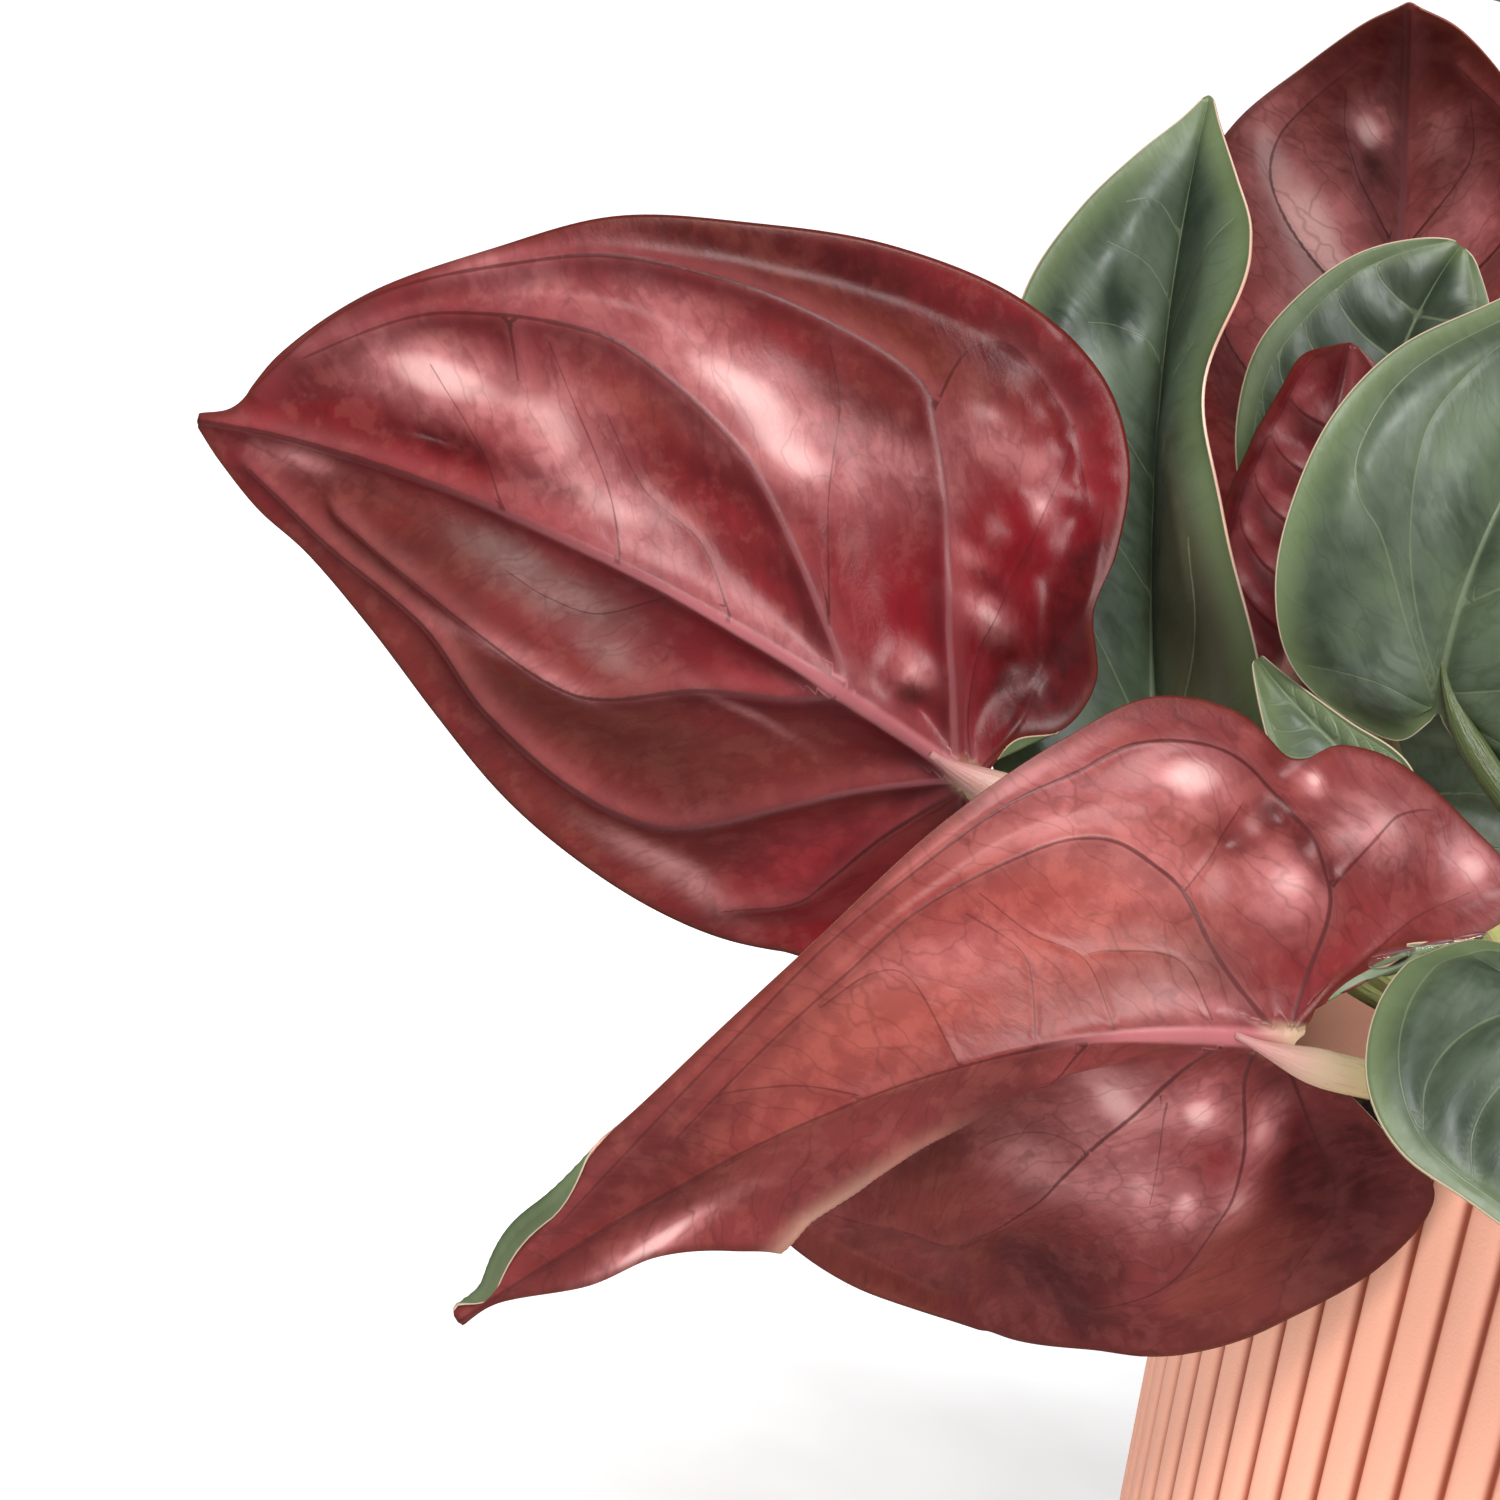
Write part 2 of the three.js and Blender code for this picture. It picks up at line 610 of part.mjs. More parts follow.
    midrib: [[-20, 68, 178], [-34, 92, 194], [-46, 120, 197], [-56, 142, 180]],
    face: [[0.1, -0.4, 0.9], [-0.05, 0.4, 0.9]],
    left: plainHalf(90, 32, 16, [10, 14, 12, 8], [-12, -14, -10, -8], [2, 2.2, 0.6]),
    right: plainHalf(90, 33, 16, [10, 14, 12, 8], [-12, -14, -10, -8], [2, 2, 0.1]),
  },
];

// Shoots: a stem and the stalks of its leaves, each stalk with a sheath at its foot

function tube(points, radius, sides, steps) {
  const path = new THREE.CatmullRomCurve3(points);
  const section = new THREE.Shape();
  section.absarc(0, 0, radius, 0, 2 * Math.PI, false);
  const options = { steps, extrudePath: path, curveSegments: sides / 2, bevelEnabled: false };
  return new THREE.ExtrudeGeometry(section, options);
}

function stalkPath(shoot, leaf) {
  const head = vector(shoot.head);
  head.z -= 3;
  const [first, second] = leaf.petiole.map(vector);
  const along = vector(leaf.midrib[1]).sub(vector(leaf.midrib[0])).normalize();
  const up = vector(leaf.face[0]).normalize();
  up.addScaledVector(along, -up.dot(along)).normalize();
  const joint = vector(leaf.midrib[0]).addScaledVector(up, -JOINT_DROP);
  return new THREE.CubicBezierCurve3(head, first, second, joint);
}

function corners(size) {
  const ends = [-size, size];
  return ends.flatMap((x) => ends.flatMap((y) => ends.map((z) => [x, y, z])));
}

function makeShoot(name) {
  const shoot = SHOOTS[name];
  const foot = new THREE.Vector3(shoot.foot[0], shoot.foot[1], STEM_BOTTOM);
  const collar = new THREE.Vector3(shoot.foot[0], shoot.foot[1], SOIL_TOP + 4);
  let solid = toSolid(tube([foot, collar, vector(shoot.head)], STEM_RADIUS, 10, 4));
  const own = LEAVES.filter((leaf) => leaf.shoot === name);
  own.forEach((leaf) => {
    const path = stalkPath(shoot, leaf);
    const steps = Math.max(5, Math.round(path.getLength() / 11));
    const whole = path.getPoints(steps);
    const lower = [0, 0.5, 1].map((share) => path.getPoint(share * SHEATH_SHARE));
    solid = solid.add(toSolid(tube(whole, PETIOLE_RADIUS, 6, steps)));
    solid = solid.add(toSolid(tube(lower, SHEATH_RADIUS, 6, 3)));
  });
  own.forEach((leaf) => {
    const blade = toSolid(bladeSolid(leaf));
    corners(BLADE_CLEARANCE).forEach((shift) => {
      solid = solid.subtract(blade.translate(shift));
    });
  });
  return toGeometry(largestPiece(solid));
}

const plant = new THREE.Group();
plant.add(named("pot", makePot(), COLOURS.pot, 0.6));
plant.add(named("soil", makeSoil(), COLOURS.soil, 0.95));
Object.keys(SHOOTS).forEach((name) => {
  plant.add(named(`shoot_${name}`, makeShoot(name), COLOURS.shoot, 0.5));
});
LEAVES.forEach((leaf) => {
  plant.add(named(leaf.name, bladeSolid(leaf), COLOURS[leaf.colour], 0.45));
});

export default plant;
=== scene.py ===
"""Potted red arrow syngonium: blades, leaf stalks, ribbed pot, soil, water drops and a pale studio."""

import json
import math
import random

import bmesh
import bpy
import numpy as np
from bpy.props import (
    FloatProperty,
    FloatVectorProperty,
    IntProperty,
    PointerProperty,
)
from bpy.types import Operator, Panel, PropertyGroup
from mathutils import Matrix, Vector, noise


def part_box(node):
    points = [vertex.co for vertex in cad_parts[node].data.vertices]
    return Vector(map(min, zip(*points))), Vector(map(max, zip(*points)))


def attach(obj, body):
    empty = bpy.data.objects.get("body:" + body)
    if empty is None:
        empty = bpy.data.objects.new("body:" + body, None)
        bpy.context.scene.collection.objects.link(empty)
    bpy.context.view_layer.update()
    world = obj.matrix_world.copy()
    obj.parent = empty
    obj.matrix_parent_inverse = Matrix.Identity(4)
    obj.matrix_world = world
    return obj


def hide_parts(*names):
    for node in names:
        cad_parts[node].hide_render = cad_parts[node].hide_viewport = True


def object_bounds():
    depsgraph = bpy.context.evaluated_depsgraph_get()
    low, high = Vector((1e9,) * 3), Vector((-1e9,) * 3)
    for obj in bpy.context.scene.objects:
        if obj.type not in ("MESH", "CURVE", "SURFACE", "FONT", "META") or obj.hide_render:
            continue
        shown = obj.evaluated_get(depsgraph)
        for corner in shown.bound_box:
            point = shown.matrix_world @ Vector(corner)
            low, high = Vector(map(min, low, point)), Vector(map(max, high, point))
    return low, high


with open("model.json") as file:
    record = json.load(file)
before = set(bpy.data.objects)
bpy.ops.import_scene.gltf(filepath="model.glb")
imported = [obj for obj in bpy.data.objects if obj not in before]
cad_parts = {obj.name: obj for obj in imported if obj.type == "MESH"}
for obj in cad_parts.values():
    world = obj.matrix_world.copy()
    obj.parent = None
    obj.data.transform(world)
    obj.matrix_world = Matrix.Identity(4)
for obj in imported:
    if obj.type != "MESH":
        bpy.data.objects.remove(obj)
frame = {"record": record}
CAD_BOX = [[float(v) for v in corner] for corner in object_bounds()]
POT_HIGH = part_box("pot")[1]

bl_info = {
    "name": "Potted red arrow syngonium",
    "version": (1, 0, 0),
    "blender": (4, 5, 0),
    "location": "3D View > Sidebar > Syngonium",
    "description": "Models the blades, stalks, pot, soil and drops of a red arrow syngonium",
    "category": "Object",
}

MM = 0.001

# Blades
# Every blade is drawn flat first, in millimetres: (a, w) is the way along the midrib and the way out
# from it. Each half's outline runs from the stalk round the lobe to the tip. fold lifts the half from
# the midrib and curl bends it towards its edge, both in degrees. Veins are drawn on the flat blade,
# w above 0 on the left half, each with its half width at its start and at its end.
# petiole holds the two middle points of the stalk's curve and midrib the four of the midrib's. face is
# where the upper face looks, at the root and at the tip. cells are the grid's rows and the columns of a
# half. stalk, flush and pucker scale the stalk's width, its warm tone and the hollows between veins.
# A half may have a wave (height, count, phase) along its margin, a roll of its margin, bulges (share
# along, share out, reach along, reach out, height) and a pleat, a step across it on a line.

HALF_WIDTH = 45.0
MAIN_VEIN = 0.55
ARROW = [
    (-0.1, 0.035), (-0.45, 0.158), (-0.9, 0.4), (-0.8, 0.72), (0.02, 0.97), (0.2, 1.0),
    (0.38, 0.9), (0.54, 0.7), (0.7, 0.45), (0.84, 0.22), (0.94, 0.08), (1.0, 0.02),
]


def far_blade(name, shoot, petiole, midrib, face, length, fold, curl, *halves):
    """An arrow-shaped blade of the plant's far side, each half given as (width, lobe, wave)."""
    left, right = ({"outline": [(a * (lobe if a < 0 else length), w * width) for a, w in ARROW],
                    "fold": fold, "curl": curl, "wave": wave} for width, lobe, wave in halves)
    return {"name": name, "shoot": shoot, "petiole": petiole, "midrib": midrib, "face": face,
            "cells": (80, 28), "left": left, "right": right}


ARCHED_FOLD = [8, 14, 12, 8]
ARCHED_CURL = [-14, -18, -12, -8]
CUPPED_FOLD = [12, 16, 12, 8]
CUPPED_CURL = [10, 14, 10, 8]

BLADES = [
    {
        "name": "blade_01_large_left",
        "shoot": "front_left",
        "petiole": [(-58, -23, 141), (-101, -25, 138.5)],
        "midrib": [(-107, -28, 142), (-134, -36, 154), (-173, -34, 164), (-206, -16, 158)],
        "face": [(0.12, 1, 0.02), (0.1, 1, 0.12)],
        "cells": (190, 78),
        "stalk": 1.4,
        "veins": [
            (1.7, 0.9, [(0, 0), (15, 0), (30, 0), (46, 0)]),
            (0.9, 0.35, [(45, 0), (60, 0), (80, 0), (105, 0)]),
            (0.8, 0.35, [(4, 0.5), (14.4, 12.9), (22.3, 24.9), (27.5, 31.7), (32.7, 36.3), (48, 36.5),
                (64.5, 33.2), (74.8, 27.5), (88.8, 17.5), (98.4, 4.6)]),
            (0.8, 0.35, [(19.6, 0), (26.8, 5.4), (40.4, 15.3), (48.6, 19.5), (60.6, 23), (67.1, 22.8),
                (76, 20.5), (83.3, 17.3), (93.5, 9.3)]),
            (0.5, 0.25, [(73.4, 20.6), (70.6, 14.9)]),
            (0.4, 0.2, [(1, 0.6), (6, 6), (9.6, 14), (10.3, 22), (11.2, 35.7), (13, 44)]),
            (0.4, 0.2, [(1, 0.6), (0, 12), (1, 24), (5, 36)]),
            (0.45, 0.25, [(29, 34), (28.6, 43.1), (24.9, 47.2), (18.2, 45.3), (12.1, 42.1), (6.3, 35.3)]),
            (0.4, 0.2, [(51.2, 0), (56, 6.9), (64.4, 15.4), (68.9, 20.3)]),
            (0.4, 0.2, [(37, 0.4), (44.3, 6.7), (52.8, 9.2), (60.5, 15.6)]),
            (0.4, 0.2, [(26.8, 5.4), (34.3, 19), (38, 29.1), (42.4, 34.9)]),
            (0.4, 0.2, [(66, 0), (72, 6), (80, 13)]),
            (0.8, 0.35, [(3, -1.4), (11.7, -9.9), (17, -16.4), (25.5, -25.7), (32.6, -29.5),
                (44.8, -30), (60.3, -26), (71.9, -18.4), (87.2, -11.9), (98, -5)]),
            (0.7, 0.3, [(21, 0), (26.4, -4.5), (36.5, -9.9), (45.5, -16.4), (52.1, -18.2),
                (61.7, -16.7), (74, -13.2), (86, -8)]),
            (0.6, 0.3, [(1, -1), (3.8, -12.6), (4.7, -21.9), (6, -27.8), (14, -35)]),
            (0.5, 0.25, [(1, -1), (-6, -9), (-11, -18), (-6, -28)]),
            (0.4, 0.2, [(44, 0), (51.1, -7.9), (58, -9), (64.7, -8)]),
        ],
        "left": {
            "outline": [(-0.3, 1.2), (-0.5, 6.8), (-4.8, 11.4), (-4.8, 18.2), (0, 24.6), (1.4, 32.6),
                (5.6, 42.6), (14, 49.8), (27, 52), (42, 49), (56, 43), (68, 37), (78, 28), (88, 19),
                (96, 9.5), (100, 2.6), (105, 0.7)],
            "fold": [10, 14, 14, 10],
            "curl": [15, 22, 18, 10],
        },
        "right": {
            "outline": [(-5, 0.9), (-12, 6), (-15.5, 16), (-13, 27), (-3, 33), (10, 38),
                (25, 40), (41, 39), (55, 35.5), (68, 29), (80, 21), (90, 14), (97, 10), (102, 5),
                (105, 0.7)],
            "fold": [12, 14, 12, 8],
            "curl": [8, 12, 12, 8],
        },
    },
    {
        "name": "blade_02_lower_left",
        "shoot": "front_left",
        "petiole": [(-42, -38, 126), (-57, -68, 126)],
        "midrib": [(-68, -66, 130), (-98, -76, 129), (-122, -84, 111), (-148, -72, 77)],
        "face": [(-0.1, 0.9, -0.1), (0, 0.8, 0.35)],
        "cells": (220, 104),
        "pucker": 0.6,
        "stalk": 1.2,
        "flush": 0.45,
        "veins": [
            (1.9, 0.4, [(0, 0), (12, 0), (24, 0), (36, 0)]),
            (0.4, 0.3, [(34, 0), (60, 0), (102, 0)]),
            (0.6, 0.3, [(1.9, 0.6), (7.3, 5.3), (10.6, 9.5), (13.5, 15.4), (16.5, 18.4), (20.7, 21.4),
                (25.4, 21.9), (32.4, 20.2), (42.3, 17.2), (50.8, 13.3), (62, 9), (74, 4.5)]),
            (0.6, 0.3, [(0.6, 0.6), (-0.9, 9.3), (-1.4, 17.2), (0.4, 22.4), (2.7, 26.3), (7.3, 30.5),
                (11.9, 32), (17.9, 31.8), (24.2, 28.7), (32, 25.8), (41.1, 21.5), (52.7, 16.4),
                (63.2, 11.7), (76.5, 6.7), (88, 2.9)]),
            (0.45, 0.25, [(-1.4, 17.2), (-8.6, 26), (-14.9, 28.6), (-17, 25)]),
            (0.5, 0.25, [(0.4, 0.6), (-5, 8), (-12, 15), (-20, 20)]),
            (0.35, 0.2, [(32.4, 0.4), (31.3, 7.1), (32, 10.9), (36.9, 15.8)]),
            (0.35, 0.2, [(22.3, 0.3), (24.8, 8.5), (30.4, 12.3), (35.2, 17.7)]),
            (0.35, 0.2, [(9.7, 0.6), (13.8, 7.9), (21.5, 9.3), (24.6, 9.2)]),
            (0.35, 0.2, [(42.1, 0.4), (44.4, 10.3), (48.2, 12.4), (54.6, 10.9)]),
            (0.35, 0.2, [(54, 0.4), (60, 4), (68, 7)]),
            (0.35, 0.2, [(13.5, 15.4), (10, 20), (7, 26)]),
            (0.6, 0.3, [(8, -0.6), (11.9, -4.1), (13.7, -8.3), (17.6, -17.6), (21.4, -27.3), (24.7, -36),
                (31.7, -42.4), (44, -44), (57.2, -35.8), (70, -24)]),
            (0.6, 0.3, [(4, -0.6), (4.4, -4.5), (3.6, -7.7), (0.8, -14.8), (0.2, -20.6), (0.8, -27.4),
                (3, -36), (10, -47)]),
            (0.35, 0.2, [(12.8, -10.5), (12.5, -14.1), (11.6, -19.9), (10.4, -27.1)]),
            (0.5, 0.25, [(1, -0.6), (-6, -10), (-13, -20), (-12, -32)]),
            (0.45, 0.25, [(26, -0.6), (33, -8), (42, -13), (54, -14)]),
            (0.35, 0.2, [(19.5, -22.5), (26, -24), (35, -29)]),
        ],
        "left": {
            "outline": [(-1, 1), (-4, 7.5), (-11.5, 12.5), (-21, 15), (-26, 21), (-19, 28),
                (-11, 33.5), (-4, 34.5), (1.5, 32), (7, 36.5), (15, 37.5), (24, 33), (37, 26),
                (51, 18.5), (65, 13), (79, 8.8), (92, 7.6), (102, 0.8)],
            "fold": [5, 10, 12, 12],
            "curl": [20, 25, 20, 10],
            "roll": {"start": 0.875, "reach": 2.8, "radius": 0.42},
            "bulges": [(0.34, 0.7, 0.07, 0.2, -2.4), (0.3, 0.45, 0.07, 0.16, -1.8),
                (0.52, 0.7, 0.07, 0.2, -1.8)],
        },
        "right": {
            "outline": [(-2, 0.6), (-14, 8.5), (-23, 15.5), (-21, 26), (-14, 36.2), (-8, 43.2),
                (4.5, 51.4), (18.4, 66), (36.3, 67.8), (54.8, 63.8), (67, 50.7), (72, 32.9),
                (70.6, 18), (76, 11.6), (82.7, 7.1), (90.2, 5.6), (97.6, 0.9), (102, 0.8)],
            "fold": [14, 16, 14, 12],
            "curl": [20, 25, 20, 10],
            "pleat": {"start": (6, 2.5), "end": (74, 19.6), "width": 3.9, "depth": 9, "slide": 8.5,
                "fade": 34},
        },
    },
    {
        "name": "blade_03_top",
        "shoot": "back",
        "petiole": [(-30, 38, 146), (-58, 46, 166)],
        "midrib": [(-63, 46, 183), (-68, 40, 201), (-74, 28, 223), (-80, 12, 241)],
        "face": [(0, 1, 0.4), (0, 0.95, 0.7)],
        "cells": (110, 40),
        "veins": [
            (1.3, 0.4, [(0, 0), (20, 0), (45, 0), (69, 0)]),
            (0.6, 0.3, [(19, -0.4), (24, -5), (29.7, -11), (34.9, -15.2), (40.3, -17.3), (46.4, -16.3),
                (52, -12.7), (60, -6)]),
            (0.5, 0.25, [(33, 0), (38, -4), (45, -8), (55, -8)]),
            (0.6, 0.3, [(19, 0.4), (26, 6), (34, 13), (42, 17), (50, 14), (60, 6)]),
            (0.5, 0.25, [(34.5, 0.9), (38.6, 4.6), (44.9, 8.7), (54, 8)]),
            (0.6, 0.3, [(2, -0.4), (6, -12), (14, -22), (26, -25), (38, -22)]),
            (0.6, 0.3, [(2, 0.4), (6, 12), (14, 21), (26, 22), (38, 20)]),
        ],
        "left": {
            "outline": [(-1, 0.8), (-6, 5), (-9, 12), (-4, 20), (6, 25), (18, 26), (30, 24),
                (41, 20), (51, 15.5), (59, 11), (65.5, 6), (69, 1)],
            "fold": [8, 10, 10, 8],
            "curl": [20, 25, 20, 10],
        },
        "right": {
            "outline": [(-1, 0.8), (-7, 5), (-10, 13), (-9.5, 23), (2, 29.5), (16, 30), (28, 29),
                (39, 26.5), (48, 21.5), (57, 13.5), (65, 6), (69, 1)],
            "fold": [8, 10, 10, 8],
            "curl": [20, 25, 20, 10],
        },
    },
    {
        "name": "blade_04_upright_green",
        "shoot": "left",
        "petiole": [(-60, 0, 128), (-83, -6, 134)],
        "midrib": [(-86, -6, 146), (-93, 2, 169), (-99, 10, 195), (-100, 16, 224)],
        "face": [(-0.05, -1, 0.15), (-0.1, -0.95, 0.15)],
        "cells": (120, 44),
        "veins": [
            (1.0, 0.35, [(0, 0), (26, 0), (52, 0.3), (82, 0)]),
            (0.4, 0.2, [(50, 0.4), (53, 3), (54, 7), (53.7, 11)]),
            (0.4, 0.2, [(58, 0.4), (61.5, 4), (63.2, 9.6)]),
            (0.4, 0.2, [(66, 0.4), (69.1, 4.1), (68.2, 8)]),
            (0.4, 0.2, [(36, 0.4), (42, 6), (48, 14)]),
            (0.4, 0.2, [(22, 0.4), (30, 7), (40, 15)]),
            (0.5, 0.25, [(2, 0.4), (9, 4), (18, 9), (26, 15)]),
            (0.4, 0.2, [(20, -0.4), (30, -6), (40, -9)]),
            (0.4, 0.2, [(36, -0.4), (44, -6), (52, -10)]),
            (0.4, 0.2, [(52, -0.4), (60, -5), (68, -8)]),
            (0.5, 0.25, [(2, -0.4), (8, -6), (18, -11), (28, -12)]),
        ],
        "left": {
            "outline": [(-1, 0.8), (-6, 3.6), (-9, 9), (-6.5, 17), (3, 21), (14, 20.5), (25, 19.5),
                (37, 20), (48, 20), (58, 18), (67, 13), (74, 7.5), (79, 3), (82, 0.8)],
            "fold": [10, 12, 14, 14, 12, 10],
            "curl": [15, 20, 15, 10],
        },
        "right": {
            "outline": [(-1, 0.8), (-5, 4), (-6, 9.5), (-3, 14), (5, 16.3), (14, 16.8), (24, 16.5),
                (35, 15.5), (46, 13), (57, 14.5), (66, 11.5), (73, 6.5), (79, 2.5), (82, 0.8)],
            "fold": [15, 20, 28, 42, 58, 66, 45, 25, 15],
            "curl": [8, 8, 8, 8],
        },
    },
    {
        "name": "blade_05_half_hidden_green",
        "shoot": "left",
        "petiole": [(-48, 12, 140), (-66, 15, 160)],
        "midrib": [(-69, 16, 174), (-70, 16, 187), (-70, 20, 202), (-65, 22, 214)],
        "face": [(-0.05, -1, 0.1), (-0.1, -1, 0.1)],
        "cells": (60, 26),
        "left": {
            "outline": [(-0.6, 0.8), (-2.5, 5), (1, 11), (7, 15), (14, 17), (21, 17), (28, 14),
                (34, 10), (39, 4.5), (41.5, 0.8)],
            "fold": [8, 8],
            "curl": [10, 10],
        },
        "right": {
            "outline": [(-0.6, 0.8), (-2, 4), (2, 8.5), (8, 12), (15, 14), (23, 13.5), (30, 11),
                (36, 7.5), (40, 3.5), (41.5, 0.8)],
            "fold": [8, 8],
            "curl": [10, 10],
        },
    },
    {
        "name": "blade_06_young_red",
        "shoot": "left",
        "petiole": [(-52, 6, 132), (-71, 1, 146)],
        "midrib": [(-73, 0, 158), (-74, 2, 170), (-75, 6, 187), (-76, 8, 200)],
        "face": [(0.3, 1, -0.1), (0.2, 1, 0.1)],
        "cells": (80, 34),
        "left": {
            "outline": [(-0.5, 0.8), (-1.5, 3.5), (3, 7), (9, 9.5), (16, 11), (23, 12), (30, 11),
                (36, 8.5), (40, 4.5), (42.5, 1)],
            "fold": [8, 8],
            "curl": [20, 20, 20, 10],
        },
        "right": {
            "outline": [(-0.5, 0.8), (-1.5, 3.4), (2, 6.8), (8, 10), (15, 11.6), (22, 11.8), (29, 10),
                (36, 7.5), (40.5, 5.5), (42.5, 1)],
            "fold": [8, 8],
            "curl": [20, 20, 20, 10],
        },
    },
    {
        "name": "blade_07_right_green",
        "shoot": "front",
        "petiole": [(-22, -34, 148), (-52, -25, 152)],
        "midrib": [(-57, -22, 163), (-61, -26, 179), (-56, -18, 199), (-42, 2, 223)],
        "flush": 0.0,
        "face": [(-0.1, -1, 0.2), (-0.1, -1, 0.5)],
        "cells": (120, 48),
        "veins": [
            (1.2, 0.35, [(0, 0), (20, 0), (45, 0), (69, 0)]),
            (0.5, 0.25, [(3, 0.4), (8.4, 1.8), (15.2, 5), (24.2, 9), (32.5, 12), (37.3, 12.6),
                (43.2, 11.3), (48.4, 9.4), (58, 5)]),
            (0.5, 0.25, [(2, 0.4), (9, 3.5), (17.9, 8.5), (22.9, 12.5), (26, 16.9), (31, 18.6),
                (40, 17), (52, 10)]),
            (0.4, 0.2, [(1, 0.4), (4.9, 6.3), (6.5, 11.3), (6.8, 16.3)]),
            (0.5, 0.25, [(18, -0.4), (28, -10), (40, -20), (50, -18), (60, -9)]),
            (0.5, 0.25, [(4, -0.4), (10, -12), (20, -24), (34, -26), (48, -22)]),
            (0.4, 0.2, [(34, -0.4), (44, -8), (54, -12), (62, -7)]),
            (0.4, 0.2, [(1, -0.4), (-2, -10), (-3, -18)]),
        ],
        "left": {
            "outline": [(-0.8, 0.8), (-3, 5), (1, 12), (7, 18.5), (15, 22), (24, 23), (33, 22.5),
                (42, 19.5), (51, 13.5), (59, 8.5), (66, 3), (69.5, 0.8)],
            "fold": [8, 10, 10, 8],
            "curl": [15, 20, 20, 10],
        },
        "right": {
            "outline": [(-1, 0.6), (-6, 5), (-8, 13), (-5, 22), (4, 28), (15, 31.5), (27, 32.3),
                (39, 30), (50, 25), (60, 17), (66.5, 7), (69.5, 0.8)],
            "fold": [8, 10, 10, 8],
            "curl": [15, 20, 20, 10],
        },
    },
    {
        "name": "blade_08_small_dark",
        "shoot": "front_left",
        "petiole": [(-40, -26, 142), (-56, -30, 148)],
        "midrib": [(-60, -30, 153), (-64, -30, 156), (-73, -26, 159), (-79, -22, 164)],
        "face": [(-0.05, -1, 0.3), (-0.1, -1, 0.3)],
        "cells": (40, 16),
        "left": {
            "outline": [(-0.4, 0.6), (-1.5, 4), (1, 8), (6, 9.5), (11, 8.5), (16, 5.5), (20, 3),
                (24, 0.6)],
            "fold": [8, 8],
            "curl": [10, 10],
        },
        "right": {
            "outline": [(-0.4, 0.6), (-1, 2.4), (2, 4), (6, 4.2), (11, 3.2), (16, 2.4), (20, 1.6),
                (24, 0.6)],
            "fold": [8, 8],
            "curl": [10, 10],
        },
    },
    {
        "name": "blade_09_front_green",
        "shoot": "front",
        "petiole": [(-16, -52, 146), (-34, -76, 152)],
        "midrib": [(-44, -82, 146), (-42, -98, 139), (-31, -108, 127), (-15, -104, 112)],
        "face": [(-0.1, -1, 0.35), (-0.1, -1, 0)],
        "cells": (90, 36),
        "left": {
            "outline": [(-1, 0.8), (-5.5, 4.5), (-6, 11), (1, 17), (10, 20), (19, 20.5),
                (28, 19.5), (36, 17), (43, 13), (49, 7), (52.5, 3), (54, 0.8)],
            "fold": [8, 10, 10, 8],
            "curl": [15, 20, 20, 10],
        },
        "right": {
            "outline": [(-1, 0.8), (-6.5, 4), (-7, 9), (-2, 15), (5, 20.5), (12, 23), (18, 21.5),
                (24, 16), (32, 10.5), (40, 6.5), (48, 3), (54, 0.8)],
            "fold": [8, 10, 10, 8],
            "curl": [15, 20, 20, 10],
        },
    },
    far_blade("blade_10_right_arch", "right", [(44, -18, 152), (66, -16, 154)],
              [(74, -18, 160), (102, -24, 172), (136, -30, 168), (164, -34, 144)],
              [(0, -0.2, 1), (0.5, -0.2, 0.85)], 97, ARCHED_FOLD, ARCHED_CURL,
              (40, 20, (2.5, 2.2, 0.1)), (37, 17, (2.5, 1.8, 0.4))),
    far_blade("blade_11_front_right", "right", [(32, -36, 144), (38, -56, 150)],
              [(42, -68, 147), (58, -94, 151), (76, -118, 138), (86, -132, 106)],
              [(0.2, -0.3, 0.95), (0.6, -0.6, 0.5)], 92, [10, 14, 12, 8], [-16, -16, -12, -8],
              (36, 18, (2.2, 2, 0.3)), (38, 20, (2.4, 2.3, 0.7))),
    far_blade("blade_12_right_upper", "right", [(32, -18, 160), (46, -10, 184)],
              [(54, -10, 198), (70, -16, 216), (94, -22, 230), (122, -26, 232)],
              [(-0.6, -0.1, 0.8), (-0.1, -0.2, 1)], 78, CUPPED_FOLD, CUPPED_CURL,
              (30, 15, (1.8, 2, 0.5)), (32, 16, (1.8, 2.2, 0.1))),
    far_blade("blade_13_top_centre", "back_right", [(22, 22, 170), (10, 12, 200)],
              [(8, 8, 214), (10, 2, 232), (18, -8, 252), (32, -22, 264)],
              [(-0.1, 0.9, 0.4), (-0.3, 0.7, 0.7)], 63, [8, 12, 10, 8], [14, 18, 14, 8],
              (25, 12, (1.4, 2, 0.2)), (26, 13, (1.4, 2, 0.6))),
    far_blade("blade_14_back_right", "back_right", [(36, 32, 146), (52, 40, 146)],
              [(60, 46, 151), (88, 66, 166), (118, 90, 160), (142, 108, 134)],
              [(0.1, 0.1, 1), (0.55, 0.4, 0.75)], 104, ARCHED_FOLD, ARCHED_CURL,
              (40, 20, (2.6, 2.1, 0.4)), (42, 21, (2.6, 2, 0))),
    far_blade("blade_15_back", "back", [(-8, 44, 150), (8, 56, 154)],
              [(14, 64, 160), (22, 92, 178), (26, 126, 174), (28, 154, 150)],
              [(0, -0.1, 1), (0.05, 0.6, 0.8)], 100, ARCHED_FOLD, ARCHED_CURL,
              (39, 19, (2.4, 2.3, 0.2)), (38, 20, (2.4, 1.9, 0.6))),
    far_blade("blade_16_back_left", "back", [(-28, 42, 138), (-42, 50, 136)],
              [(-50, 54, 141), (-78, 76, 154), (-108, 98, 146), (-130, 112, 122)],
              [(-0.1, 0.1, 1), (-0.5, 0.4, 0.75)], 100, ARCHED_FOLD, ARCHED_CURL,
